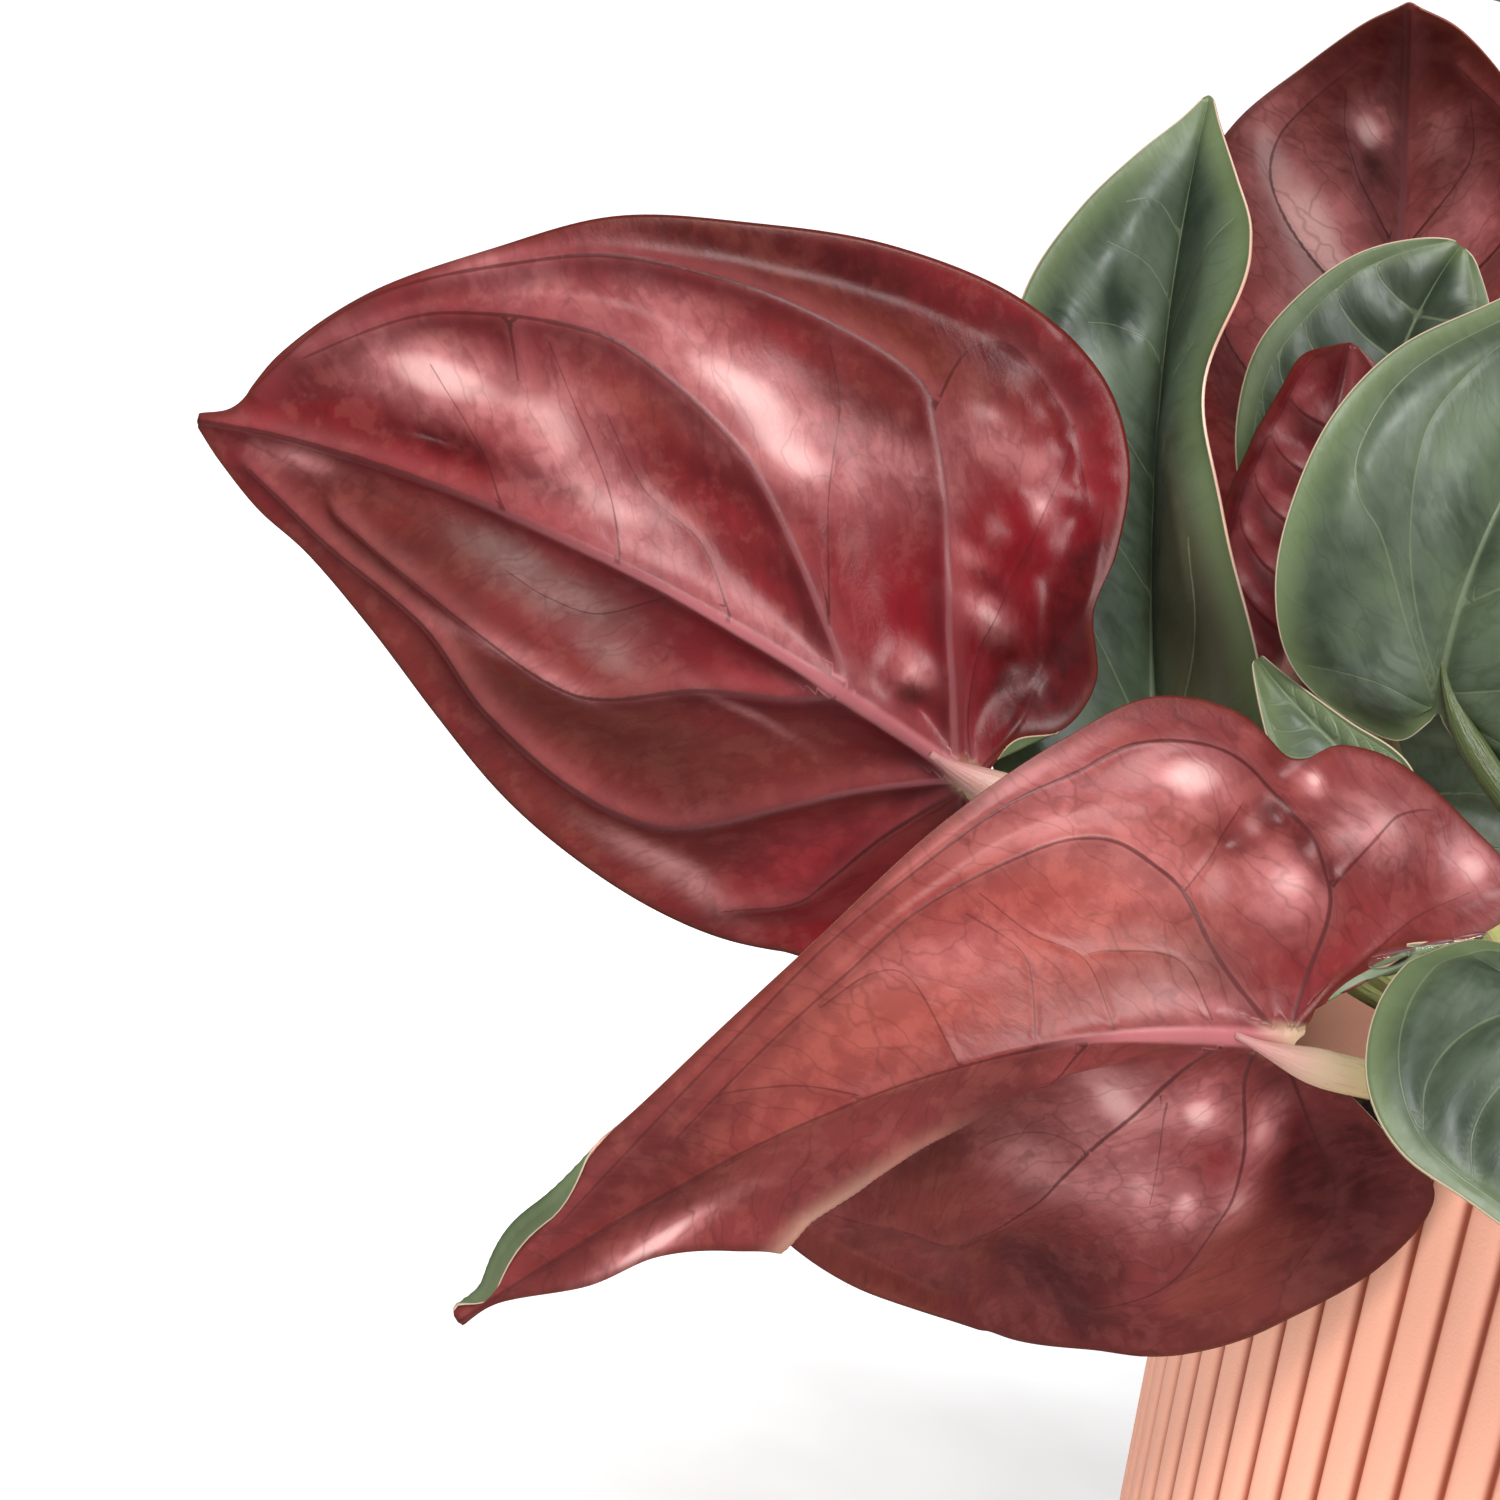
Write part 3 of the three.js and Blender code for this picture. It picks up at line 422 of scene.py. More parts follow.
              (36, 18, (2.2, 2, 0.1)), (37, 18, (2.2, 2.2, 0.5))),
    far_blade("blade_17_front_low", "front", [(4, -50, 132), (8, -62, 132)],
              [(10, -74, 130), (16, -100, 134), (24, -122, 114), (28, -128, 84)],
              [(0.05, -0.3, 0.95), (0.2, -0.95, 0.35)], 84, [10, 14, 12, 8], [-14, -16, -12, -8],
              (31, 15, (2, 2.2, 0.4)), (30, 15, (2, 2, 0.9))),
    far_blade("blade_18_back_right_upper", "back_right", [(30, 30, 170), (40, 40, 188)],
              [(46, 46, 198), (60, 62, 216), (76, 82, 226), (92, 104, 222)],
              [(-0.4, -0.4, 0.85), (0.05, 0.1, 1)], 80, CUPPED_FOLD, CUPPED_CURL,
              (30, 15, (1.8, 2.1, 0.3)), (31, 15, (1.8, 1.9, 0.8))),
    far_blade("blade_19_back_left_upper", "back", [(-16, 46, 150), (-18, 60, 168)],
              [(-20, 68, 178), (-34, 92, 194), (-46, 120, 197), (-56, 142, 180)],
              [(0.1, -0.4, 0.9), (-0.05, 0.4, 0.9)], 90, [10, 14, 12, 8], [-12, -14, -10, -8],
              (32, 16, (2, 2.2, 0.6)), (33, 16, (2, 2, 0.1))),
]

# Where each stem stands in the soil and where its stalks part, in millimetres

SHOOTS = {
    "front_left": {"foot": (-28, -20), "head": (-30, -21, 124)},
    "left": {"foot": (-36, 6), "head": (-39, 6, 125)},
    "front": {"foot": (-6, -36), "head": (-6, -38, 126)},
    "back": {"foot": (-12, 32), "head": (-13, 34, 128)},
    "right": {"foot": (26, -18), "head": (29, -19, 130)},
    "back_right": {"foot": (24, 22), "head": (26, 24, 132)},
}

# Underside and rim of the blades that show them. The others are wine with a green rim.

FINISHES = {
    "blade_01_large_left": ("wine", "wine"),
    "blade_02_lower_left": ("coral", "cream"),
    "blade_03_top": ("maroon", "wine"),
    "blade_04_upright_green": ("wine", "cream"),
    "blade_06_young_red": ("wine", "wine"),
}

# Bumps and soft colour patches of the blades that the picture shows, on the flat blade: (a, w, reach
# along, reach across, height or amount). Heights are in millimetres, and a negative one stands out on
# the underside. blush is a warm tone, on the underside the lit colour of thin parts and so partly
# painted light. The pale patches are painted highlights and sheen and the dark ones painted shade in
# hollows and creases. crimson and brown are tones and the grey patches a painted reflection of the
# window, all three laid over the underside alone.

PATCHES = {
    "blade_01_large_left": {
        "bumps": [
            (15.2, 5.6, 3.4, 3.0, -2.0), (12.4, 3.8, 2.4, 1.6, 0.9), (11, 17, 5.0, 3.2, -1.9),
            (5.5, 14.5, 3.0, 2.2, 0.7), (79, 10.5, 6, 3.6, -1.5), (75, 5, 5, 1.8, 1.5),
            (90, -3, 4, 2.0, -1.0), (96, -2.4, 2.6, 1.4, -0.6), (20, 49.8, 1.3, 1.2, -0.6),
            (17.4, 48.6, 1.2, 1.2, -0.6), (14.7, 46.9, 1.2, 1.2, -0.65), (12, 44.9, 1.3, 1.1, -0.65),
            (9.6, 42.5, 1.4, 1.2, -0.7), (7.4, 39.6, 1.4, 1.3, -0.7), (16, 42.5, 2.0, 1.6, -0.6),
            (12.4, 39.4, 2.0, 1.8, -0.6), (8.6, 35.8, 2.2, 1.8, -0.7), (20.2, 44.8, 1.8, 1.4, -0.5),
            (21, 38.5, 3.0, 2.4, -1.0), (15.5, 33, 3.2, 2.4, 0.9), (13, 27, 3.4, 2.4, -0.9),
            (8, 25, 2.6, 2.2, 0.8), (18, 30, 2.4, 2.0, -0.6), (5.5, 30, 2.4, 2.4, -0.6),
            (25, 25, 5, 3, -0.5), (36, 21, 4, 3, -0.5), (46, 28, 5, 3, -0.6), (52, 6, 5, 2.4, -0.5),
            (66, -12, 6, 3, -0.6), (78, -8.5, 3, 2, -0.6),
        ],
        "blush": [(6, -22, 12, 8, 1.0), (17, 21, 3.6, 2.2, 0.9), (22, 9, 6, 3, 0.8), (34, -4, 10, 3, 0.5),
            (2, -12, 6, 5, 0.6)],
        "painted_highlight": [(79, 12.0, 9, 3.8, 1.0), (66, 14, 6, 4, 0.5), (55, 5.5, 9, 3.6, 0.8),
            (40, 2.8, 9, 1.8, 0.55), (28, 1.8, 8, 1.4, 0.45), (49, 25.5, 12, 3.8, 0.9),
            (40, 20.5, 9, 3.2, 0.8), (63, 10, 6, 4, 0.5), (21, 36, 5, 4, 0.55), (14.5, 36.5, 3, 2.4, 0.5),
            (11.5, 32.5, 1.6, 2.0, 0.8), (17, 21.5, 2.6, 1.4, 0.5), (27, 27, 6, 4, 0.5),
            (76, 26, 9, 3.2, 0.55), (60, 31, 8, 2.5, 0.4), (63, -17.0, 8, 1.3, 0.8),
            (52, -18.0, 6, 1.0, 0.6), (26, -34.5, 12, 1.8, 0.7), (92, -2.2, 5, 2, 0.7),
            (14.8, 6.4, 3.4, 2.4, 0.7), (11, 17, 4.2, 1.9, 0.9), (30, -9.5, 8, 0.8, 0.5)],
        "painted_shade": [(75, 4.8, 9, 1.8, 1.0), (62, 5.5, 4, 2, 0.5), (46, 14.5, 12, 2.2, 0.6),
            (33, 8.6, 7, 1.6, 0.6), (35, 31, 9, 2.2, 0.55), (26, 25, 4, 2, 0.3),
            (46, 44, 26, 4.5, 0.95), (62, 38, 14, 2.6, 0.8), (22, 47, 8, 3, 0.5), (78, -8, 8, 3.0, 0.35),
            (12.5, 20.6, 4.6, 1.3, 0.6), (4, 28, 3, 6, 0.6), (3.5, 10.5, 3.4, 3.6, 0.6),
            (36, -22, 16, 5, 0.45), (60, -24, 16, 4, 0.4), (76, -12, 8, 4, 0.3),
            (-1, 18, 6, 9, 1.0), (1, 31, 3.4, 8, 0.8), (-3, 10, 5, 5, 1.0), (72, 33, 14, 3, 0.5),
            (13.6, 4.2, 2.2, 1.6, 0.6), (5.5, 14.5, 3.5, 2.0, 0.45), (14, -28, 8, 2, 0.3)],
        "crimson": [(5, 24, 11, 13, 1.0), (2, 10, 9, 8, 1.0), (10, 36, 8, 10, 0.9), (20, 9, 7, 5, 0.9),
            (16, 13, 8, 4, 0.8), (38, -4, 12, 3.4, 0.7), (3, -20, 10, 7, 0.9), (28, 20, 8, 6, 0.3)],
        "brown": [(78, -10, 14, 8, 0.8), (60, -22, 22, 5, 0.7), (36, -19, 18, 6, 0.7),
            (40, -34, 26, 5, 0.6), (18, -10, 10, 5, 0.5), (58, 40, 26, 4.5, 0.9), (34, 32, 6, 4, 0.4),
            (30, 40, 14, 4, 0.6), (46, -22, 14, 6, 0.5), (58, 18, 8, 3, 0.5)],
        "painted_reflection": [(57, -8, 9, 3.2, 0.9), (66, -5.5, 7, 2.4, 0.6), (48, -12, 5, 2.4, 0.6),
            (78, 13, 6, 2.6, 0.5), (24, -35, 10, 1.6, 0.5)],
    },
    "blade_02_lower_left": {
        "bumps": [(-7.4, 25.4, 6.0, 5.0, -2.7), (3.2, 17.0, 4.8, 4.6, -2.6), (12.6, 27.6, 4.8, 4.2, -2.0),
            (-18.5, 22, 3.6, 3.0, -1.2), (0.5, -20.5, 2.8, 3.0, -0.9), (-1.4, 19.4, 1.8, 2.4, 1.0),
            (2.8, 25, 1.8, 2.0, 0.9), (8.3, -10.8, 3.2, 3.0, -0.7), (17.6, -13.4, 4, 4, -0.6),
            (3, 30, 2.2, 2.2, 0.9), (-0.4, 29.6, 1.3, 1.2, -0.5), (8, 21.5, 2.4, 2.0, 0.7),
            (26, 27, 6, 2.6, -0.4), (44, 8, 7, 3, -0.5), (22, 9, 5, 3, -0.4), (60, 5, 7, 2.4, -0.4),
            (21, -27, 5, 4, -0.6)],
        "blush": [(31, 13, 20, 12, 0.95), (52, 7, 12, 6, 0.45), (20, 22, 12, 8, 0.6), (70, 3, 14, 6, 0.3),
            (22, -28, 12, 10, 0.5), (4, -24, 8, 8, 0.5)],
        "painted_highlight": [(16, 18, 6, 4, 0.45), (-8, 25.6, 5.2, 4.2, 0.8), (3.2, 17.2, 4.0, 4.2, 0.8),
            (12.4, 28.4, 4.6, 3.6, 0.95), (-0.3, 29.8, 1.4, 1.4, 0.9), (40, 12, 10, 3, 0.3),
            (28, 22, 10, 3, 0.35), (26, 28, 8, 4, 0.5), (12, 3, 8, 2.0, 0.5),
            (18.2, -13.2, 5.4, 4.6, 0.9), (8.4, -11, 3.4, 3.6, 0.9), (-0.5, -11.6, 2.4, 4.0, 0.75),
            (-0.8, -21, 2.6, 3.4, 0.85), (12, -25.5, 5.0, 6.0, 0.7), (5.4, -24, 2.6, 3.4, 0.7),
            (24, -29, 8, 5, 0.6), (82, -5.6, 9, 1.4, 1.0), (-20, 22.6, 3.4, 3.0, 0.9),
            (20, -20, 5, 3, 0.5)],
        "painted_shade": [(43, -28, 8, 6, 0.5), (39, -8, 9, 4, 0.55), (30, -14, 6, 4, 0.35),
            (8, 21.6, 2.8, 2.2, 0.5), (-1.6, 19.4, 1.6, 2.2, 0.8), (1, 22.4, 1.6, 2.0, 0.8),
            (3.6, 25.6, 1.8, 2.0, 0.8), (3.4, 31.5, 2.4, 2.4, 0.5), (-8, -15, 5, 7, 0.9),
            (-12, -12, 7, 6, 0.8), (-15, -22, 8, 9, 0.8), (14, -47, 22, 6, 0.5), (30, -52, 16, 8, 0.4),
            (80, 1, 12, 3, 0.5), (74, 5, 10, 3, 0.4)],
        "crimson": [(34, 15, 10, 5, 0.35), (20, 26, 5, 3, 0.4), (4.4, -16.6, 4, 2.6, 0.7),
            (-5, -14, 5, 8, 0.8), (-4, 8, 8, 5, 0.5)],
        "brown": [(12, 22, 4, 4, 0.6), (-8, -32, 10, 12, 0.6), (40, -38, 14, 12, 0.5),
            (54, 11, 12, 5, 0.6), (70, -2, 16, 5, 0.4), (60, 10, 14, 3, 0.35)],
        "painted_reflection": [(13, 8, 7, 4, 0.35), (22, 4.5, 8, 3, 0.35), (26, -30, 6, 4, 0.3), (17, -12, 5, 4, 0.5),
            (-6, 26, 3, 3, 0.3)],
    },
    "blade_03_top": {
        "bumps": [(49, -4.8, 3.6, 2.4, -1.8), (44.5, -7.5, 3, 2, 0.9), (45, -18, 4, 2, -0.7),
            (34, -9, 5, 3, -0.6), (36, 8, 5, 3, -0.6), (50, 6, 4, 3, -0.6)],
        "blush": [(28, -12, 16, 12, 1.0), (28, 11, 14, 12, 1.0), (48, -17, 9, 5, 0.9)],
        "painted_highlight": [(49.4, -4.8, 3.8, 3.0, 1.0), (34, -13, 9, 5, 0.95), (44, -18, 8, 3.4, 0.85),
            (25, -8, 9, 4, 0.8), (36, 8, 8, 4, 0.6), (49, 5, 4, 3, 0.5), (18, -14, 8, 5, 0.7)],
        "painted_shade": [(64, -1, 10, 14, 0.95), (44, -4.5, 4, 1.8, 0.8), (44, 5, 6, 3, 0.4)],
        "brown": [(62, 0, 12, 16, 0.6)],
    },
    "blade_04_upright_green": {
        "bumps": [(55, 6, 3.4, 2.6, -1.3), (64, 6.6, 4, 2.6, 0.9), (46, 8, 4, 3, 0.8),
            (59, 10, 3, 2, 0.5), (36, 8, 4, 3, 0.5)],
        "blush": [(16, -7, 14, 4, 1.0), (30, -9, 10, 3, 0.5), (18, -13, 12, 5, 1.0)],
        "painted_highlight": [(63, 5, 6, 3, 0.55), (50, 8, 5, 3, 0.5), (40, 6, 10, 4, 0.5), (59, 11, 4, 2, 0.5)],
        "painted_shade": [(54.6, 6, 3, 1.8, 1.0), (57, 8.4, 3, 1.4, 0.7), (30, -4, 14, 3, 0.5),
            (60, -4, 12, 4, 0.5), (12, 8, 12, 6, 0.35), (60, 4, 22, 16, 0.42), (18, -12, 14, 8, 0.8)],
    },
    "blade_05_half_hidden_green": {"painted_shade": [(20, 0, 40, 24, 0.8)]},
    "blade_06_young_red": {
        "bumps": [(34, -1.2, 2.6, 2.6, -1.0), (27, -5, 2.4, 2.4, -0.9), (21, -5, 2.2, 2.4, -0.9),
            (15, -5, 2.2, 2.2, -0.8), (30, -8.5, 1.6, 1.4, -0.6), (24, -9.5, 1.6, 1.4, -0.6),
            (18, -9.5, 1.6, 1.4, -0.6), (12, -8.5, 1.6, 1.4, -0.6), (36, 3, 3, 2, -0.8)],
        "blush": [(18, -6, 10, 6, 0.4)],
        "painted_highlight": [(34, -1.2, 2.2, 2.2, 0.9), (27, -5, 2, 2, 0.3), (21, -5, 2, 2, 0.6),
            (15, -5, 2, 2, 0.6), (30, -8.5, 1.4, 1.2, 0.5), (24, -9.5, 1.4, 1.2, 0.5)],
        "painted_shade": [(31, -4.5, 3.4, 3, 0.7), (24, -4, 1.2, 3, 0.4), (18, -4, 1.2, 3, 0.4),
            (26, -11, 16, 3.2, 0.8), (38, 0, 5, 6, 0.6), (6, -4, 8, 8, 0.7)],
    },
    "blade_09_front_green": {
        "painted_highlight": [(12, -6, 8, 4, 0.35), (10, 10, 6, 4, 0.3)],
        "painted_shade": [(22, -10, 14, 8, 0.45), (16, -19, 10, 4, 0.4)],
    },
    "blade_07_right_green": {
        "bumps": [(30, 6, 5, 3, 0.5), (20, 14, 4, 3, 0.5), (42, 4, 5, 3, 0.5)],
        "painted_highlight": [(8, 6, 6, 4, 0.7), (4, 12, 4, 4, 0.6), (30, 7, 8, 3, 0.5), (36, 15, 8, 3, 0.4),
            (50, 3, 8, 3, 0.4)],
        "painted_shade": [(16, 17, 6, 3, 0.6), (30, 14.5, 8, 2, 0.4), (12, 10, 5, 2, 0.4)],
    },
}


# Sizes and colours that a user would change

class SyngoniumPot(PropertyGroup):
    """Sizes and colours of the ribbed pot"""

    height: FloatProperty(name="Height", description="Height of the pot", default=POT_HIGH.z,
                          unit="LENGTH")
    rim_radius: FloatProperty(name="Rim radius", description="Radius over the ribs at the rim",
                              default=0.070, unit="LENGTH")
    base_radius: FloatProperty(name="Base radius", description="Radius over the ribs at the foot",
                               default=0.0595, unit="LENGTH")
    wall: FloatProperty(name="Wall", description="Wall thickness", default=0.004, unit="LENGTH")
    ribs: IntProperty(name="Ribs", description="Upright ribs round the pot", default=76)
    rib_depth: FloatProperty(name="Rib depth", description="Depth of the grooves between ribs",
                             default=0.0013, unit="LENGTH")
    crest: FloatVectorProperty(name="Rib colour", description="Colour of the ribs", size=4,
                               subtype="COLOR", default=(0.88, 0.43, 0.30, 1))
    # Painted shade deep in the grooves
    painted_groove_shade: FloatVectorProperty(name="Groove colour", description="Colour deep between the ribs",
                                size=4, subtype="COLOR", default=(0.38, 0.066, 0.022, 1))


class SyngoniumBlades(PropertyGroup):
    """Sizes and colours of the leaf blades"""

    thickness: FloatProperty(name="Thickness", description="Thickness of a blade", default=0.00035,
                             unit="LENGTH")
    quilt: FloatProperty(name="Quilting", description="Depth of the hollows between main veins",
                         default=0.0034, unit="LENGTH")
    wine: FloatVectorProperty(name="Wine red", description="Main colour of the underside", size=4,
                              subtype="COLOR", default=(0.155, 0.010, 0.013, 1))
    maroon: FloatVectorProperty(name="Maroon", description="Darkest colour of the underside",
                                size=4, subtype="COLOR", default=(0.042, 0.006, 0.006, 1))
    coral: FloatVectorProperty(name="Coral", description="Lit, thin parts of the underside",
                               size=4, subtype="COLOR", default=(0.30, 0.066, 0.050, 1))
    mauve: FloatVectorProperty(name="Mauve", description="Bloom and ribs of the underside",
                               size=4, subtype="COLOR", default=(0.36, 0.110, 0.120, 1))
    leaf_dark: FloatVectorProperty(name="Dark green", description="Upper face", size=4,
                                   subtype="COLOR", default=(0.028, 0.040, 0.022, 1))
    leaf_light: FloatVectorProperty(name="Grey green", description="Paler parts of the upper face",
                                    size=4, subtype="COLOR", default=(0.085, 0.115, 0.062, 1))
    rim: FloatVectorProperty(name="Rim", description="Cream pink edge of a blade", size=4,
                             subtype="COLOR", default=(0.72, 0.50, 0.38, 1))


class SyngoniumShoots(PropertyGroup):
    """Sizes and colours of the stems and leaf stalks"""

    stem_radius: FloatProperty(name="Stem radius", description="Radius of a stem", default=0.004,
                               unit="LENGTH")
    stalk_radius: FloatProperty(name="Stalk radius", description="Radius of a leaf stalk",
                                default=0.0018, unit="LENGTH")
    sheath_radius: FloatProperty(name="Sheath radius", description="Radius of a stalk's sheath",
                                 default=0.0028, unit="LENGTH")
    green: FloatVectorProperty(name="Green", description="Yellow green of the stalks", size=4,
                               subtype="COLOR", default=(0.36, 0.40, 0.13, 1))
    blush: FloatVectorProperty(name="Blush", description="Pink flush near the blade", size=4,
                               subtype="COLOR", default=(0.50, 0.20, 0.19, 1))


class SyngoniumDrops(PropertyGroup):
    """Size and number of the water drops"""

    hanging: FloatProperty(name="Hanging drop", description="Half length of a drop under a margin",
                           default=0.0027, unit="LENGTH")
    sprinkle: IntProperty(name="Sprinkle", description="Tiny drops on the low green leaf", default=70)


class SyngoniumSoil(PropertyGroup):
    """Sizes and colours of the potting mix"""

    crumbs: IntProperty(name="Crumbs", description="Loose crumbs on the soil", default=420)
    dark: FloatVectorProperty(name="Dark", description="Dark potting mix", size=4, subtype="COLOR",
                              default=(0.020, 0.012, 0.008, 1))
    light: FloatVectorProperty(name="Light", description="Dry fibres and bark", size=4,
                               subtype="COLOR", default=(0.11, 0.065, 0.038, 1))


class SyngoniumStage(PropertyGroup):
    """Floor, lights and camera"""

    floor: FloatVectorProperty(name="Floor", description="Colour of the floor", size=4,
                               subtype="COLOR", default=(0.93, 0.93, 0.93, 1))
    key: FloatProperty(name="Key light", description="Strength of the broad light from above",
                       default=2.3)
    window_power: FloatProperty(name="Window", description="Power of the light at the side",
                                default=26.0, unit="POWER")
    sky: FloatProperty(name="Sky", description="Strength of the even white light", default=0.15)


# Small numeric helpers

def unit(v):
    """Vectors of length one along the last axis."""
    return v / np.maximum(np.linalg.norm(v, axis=-1, keepdims=True), 1e-12)


def ease(x):
    """0 below 0, 1 above 1 and smooth between."""
    c = np.clip(x, 0, 1)
    return c * c * (3 - 2 * c)


def along_list(values, share):
    """Values of an evenly spaced list on a smooth line through them, at shares 0 to 1."""
    v = np.asarray(values, float)
    if v.ndim == 1:
        v = v[:, None]
    last = len(v) - 1
    x = np.clip(share, 0, 1) * last
    i = np.minimum(x.astype(int), last - 1)
    f = (x - i)[:, None]
    ends = np.vstack([2 * v[0] - v[1], v, 2 * v[-1] - v[-2]])
    a, b, c, d = ends[i], ends[i + 1], ends[i + 2], ends[i + 3]
    return 0.5 * (2 * b + (c - a) * f + (2 * a - 5 * b + 4 * c - d) * f * f
                  + (3 * b - a - 3 * c + d) * f ** 3)


def bezier(points, share):
    """Points of a cubic curve."""
    s = np.asarray(share, float)[:, None]
    p = np.asarray(points, float)
    return ((1 - s) ** 3 * p[0] + 3 * (1 - s) ** 2 * s * p[1] + 3 * (1 - s) * s * s * p[2]
            + s ** 3 * p[3])


def bezier_tangent(points, share):
    """Unit tangents of a cubic curve."""
    s = np.asarray(share, float)[:, None]
    p = np.asarray(points, float)
    return unit(3 * (1 - s) ** 2 * (p[1] - p[0]) + 6 * (1 - s) * s * (p[2] - p[1])
                + 3 * s * s * (p[3] - p[2]))


def bezier_length(points):
    """Length of a cubic curve."""
    line = bezier(points, np.linspace(0, 1, 201))
    return float(np.linalg.norm(np.diff(line, axis=0), axis=1).sum())


def mesh_points(mesh):
    """A mesh's vertex places as an array."""
    co = np.empty(len(mesh.vertices) * 3)
    mesh.vertices.foreach_get("co", co)
    return co.reshape(-1, 3)


def move_points(mesh, places):
    """Moves a mesh's vertices."""
    mesh.vertices.foreach_set("co", np.ascontiguousarray(places, dtype=np.float32).ravel())
    mesh.update()


def store(mesh, name, values):
    """Keeps numbers or vectors per vertex for the materials."""
    values = np.asarray(values, np.float32)
    kind, key = ("FLOAT", "value") if values.ndim == 1 else ("FLOAT_VECTOR", "vector")
    attribute = mesh.attributes.new(name, kind, "POINT")
    attribute.data.foreach_set(key, values.ravel())


def smooth_noise(points, scale, seed):
    """Soft noise from -1 to 1 on flat places, lumps of about scale millimetres."""
    offset = Vector((seed * 7.31, seed * 3.17, seed * 1.93))
    return np.array([noise.noise(Vector((p[0] / scale, p[1] / scale, 0.0)) + offset)
                     for p in points])


def piece_from(bm, name, material):
    """An object made of a finished bmesh, with its material."""
    mesh = bpy.data.meshes.new(name)
    bm.to_mesh(mesh)
    bm.free()
    mesh.materials.append(material)
    return bpy.data.objects.new(name, mesh)


def finish_piece(piece, slot, *nodes):
    """Shades a piece smoothly, lets it ride on the pot and takes the place of CAD nodes."""
    mesh = piece.data
    mesh.polygons.foreach_set("use_smooth", np.ones(len(mesh.polygons), dtype=bool))
    bpy.context.scene.collection.objects.link(piece)
    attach(piece, "root")
    if nodes:
        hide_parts(*nodes)
    return piece


# Blade shape
# Lengths are in millimetres. A blade's outline belongs to its lobe up to LOBE_SHARE. Between the main
# veins it rises over SAIL_REACH, and all unevenness fades out in MARGIN_BAND.

LOBE_SHARE = 0.22
SAIL_REACH = 5.0
MARGIN_BAND = 6.0
SWELL_SIZE, SWELL_HEIGHT = 13.0, 0.5
RIPPLE_SIZE, RIPPLE_HEIGHT = 5.5, 0.16
CALM_BY_PLEAT = 5.5
ROOM_IN_BOX = 0.25


def flat_place(leaf, length, side, q, t):
    """Flat place (a, w) of share q along a half's outline and share t out from the midrib."""
    half = leaf["left"] if side > 0 else leaf["right"]
    out = along_list(half["outline"], q)
    past_lobe = np.maximum(q - LOBE_SHARE, 0) / (1 - LOBE_SHARE)
    root = (0.1 * q + 0.9 * past_lobe ** 1.25) * length
    return root + (out[:, 0] - root) * t ** 1.25, out[:, 1] * t ** 0.92


def pleat_marks(pleat, a, w):
    """Way out from a pleat's line and way along it."""
    (a0, w0), (a1, w1) = pleat["start"], pleat["end"]
    run = math.hypot(a1 - a0, w1 - w0)
    la, lw = (a1 - a0) / run, (w1 - w0) / run
    return (w - w0) * la - (a - a0) * lw, (a - a0) * la + (w - w0) * lw, la, lw


def pleat_shift(pleat, a, w):
    """The step of a pleated half: how far it lifts, moves out and slides along."""
    off, on, la, lw = pleat_marks(pleat, a, w)
    amount = ease(0.5 + 0.5 * off / pleat["width"]) * ease(on / pleat["fade"])
    return pleat["depth"] * amount, -pleat["slide"] * amount * la, pleat["slide"] * amount * lw


def blade_places(leaf, length, side, q, t):
    """Bent place, in millimetres, of each flat place of a half."""
    half = leaf["left"] if side > 0 else leaf["right"]
    a, w = flat_place(leaf, length, side, q, t)
    fold = np.radians(along_list(half["fold"], q)[:, 0])
    curl = np.radians(along_list(half["curl"], q)[:, 0]) / HALF_WIDTH
    curl = np.where(np.abs(curl) < 1e-9, 1e-6, curl)
    share = np.clip(a / length, 0, 1)
    along = bezier_tangent(leaf["midrib"], share)
    start, end = (unit(np.array(f, float)) for f in leaf["face"])
    up = start + (end - start) * share[:, None]
    up = unit(up - (up * along).sum(1, keepdims=True) * along)
    across = np.cross(up, along)
    out = (np.sin(fold + curl * w) - np.sin(fold)) / curl
    lift = -(np.cos(fold + curl * w) - np.cos(fold)) / curl
    slide = np.zeros_like(a)
    if "pleat" in half:
        step, inward, slide = pleat_shift(half["pleat"], a, w)
        lift = lift + step
        out = out + inward
    if "roll" in half:
        roll = half["roll"]
        reach = roll["reach"] * ease((q - roll["start"]) / 0.05) * ease((1.0 - q) / 0.03)
        margin = along_list(half["outline"], q)[:, 1]
        over = np.maximum(w - margin + reach, 0)
        turn = np.minimum(over / roll["radius"], np.pi)
        behind = np.maximum(over - np.pi * roll["radius"], 0)
        out = out - over + roll["radius"] * np.sin(turn) - behind
        lift = lift - roll["radius"] * (1 - np.cos(turn))
    if "wave" in half:
        height, count, phase = half["wave"]
        lift = lift + height * t * t * np.sin(2 * np.pi * (count * q + phase))
    for at_q, at_t, wide_q, wide_t, height in half.get("bulges", []):
        lift = lift + height * np.exp(-((q - at_q) / wide_q) ** 2 - ((t - at_t) / wide_t) ** 2)
    return (bezier(leaf["midrib"], share) + along * (np.minimum(a, 0) + slide)[:, None]
            + across * (side * out)[:, None] + up * lift[:, None])


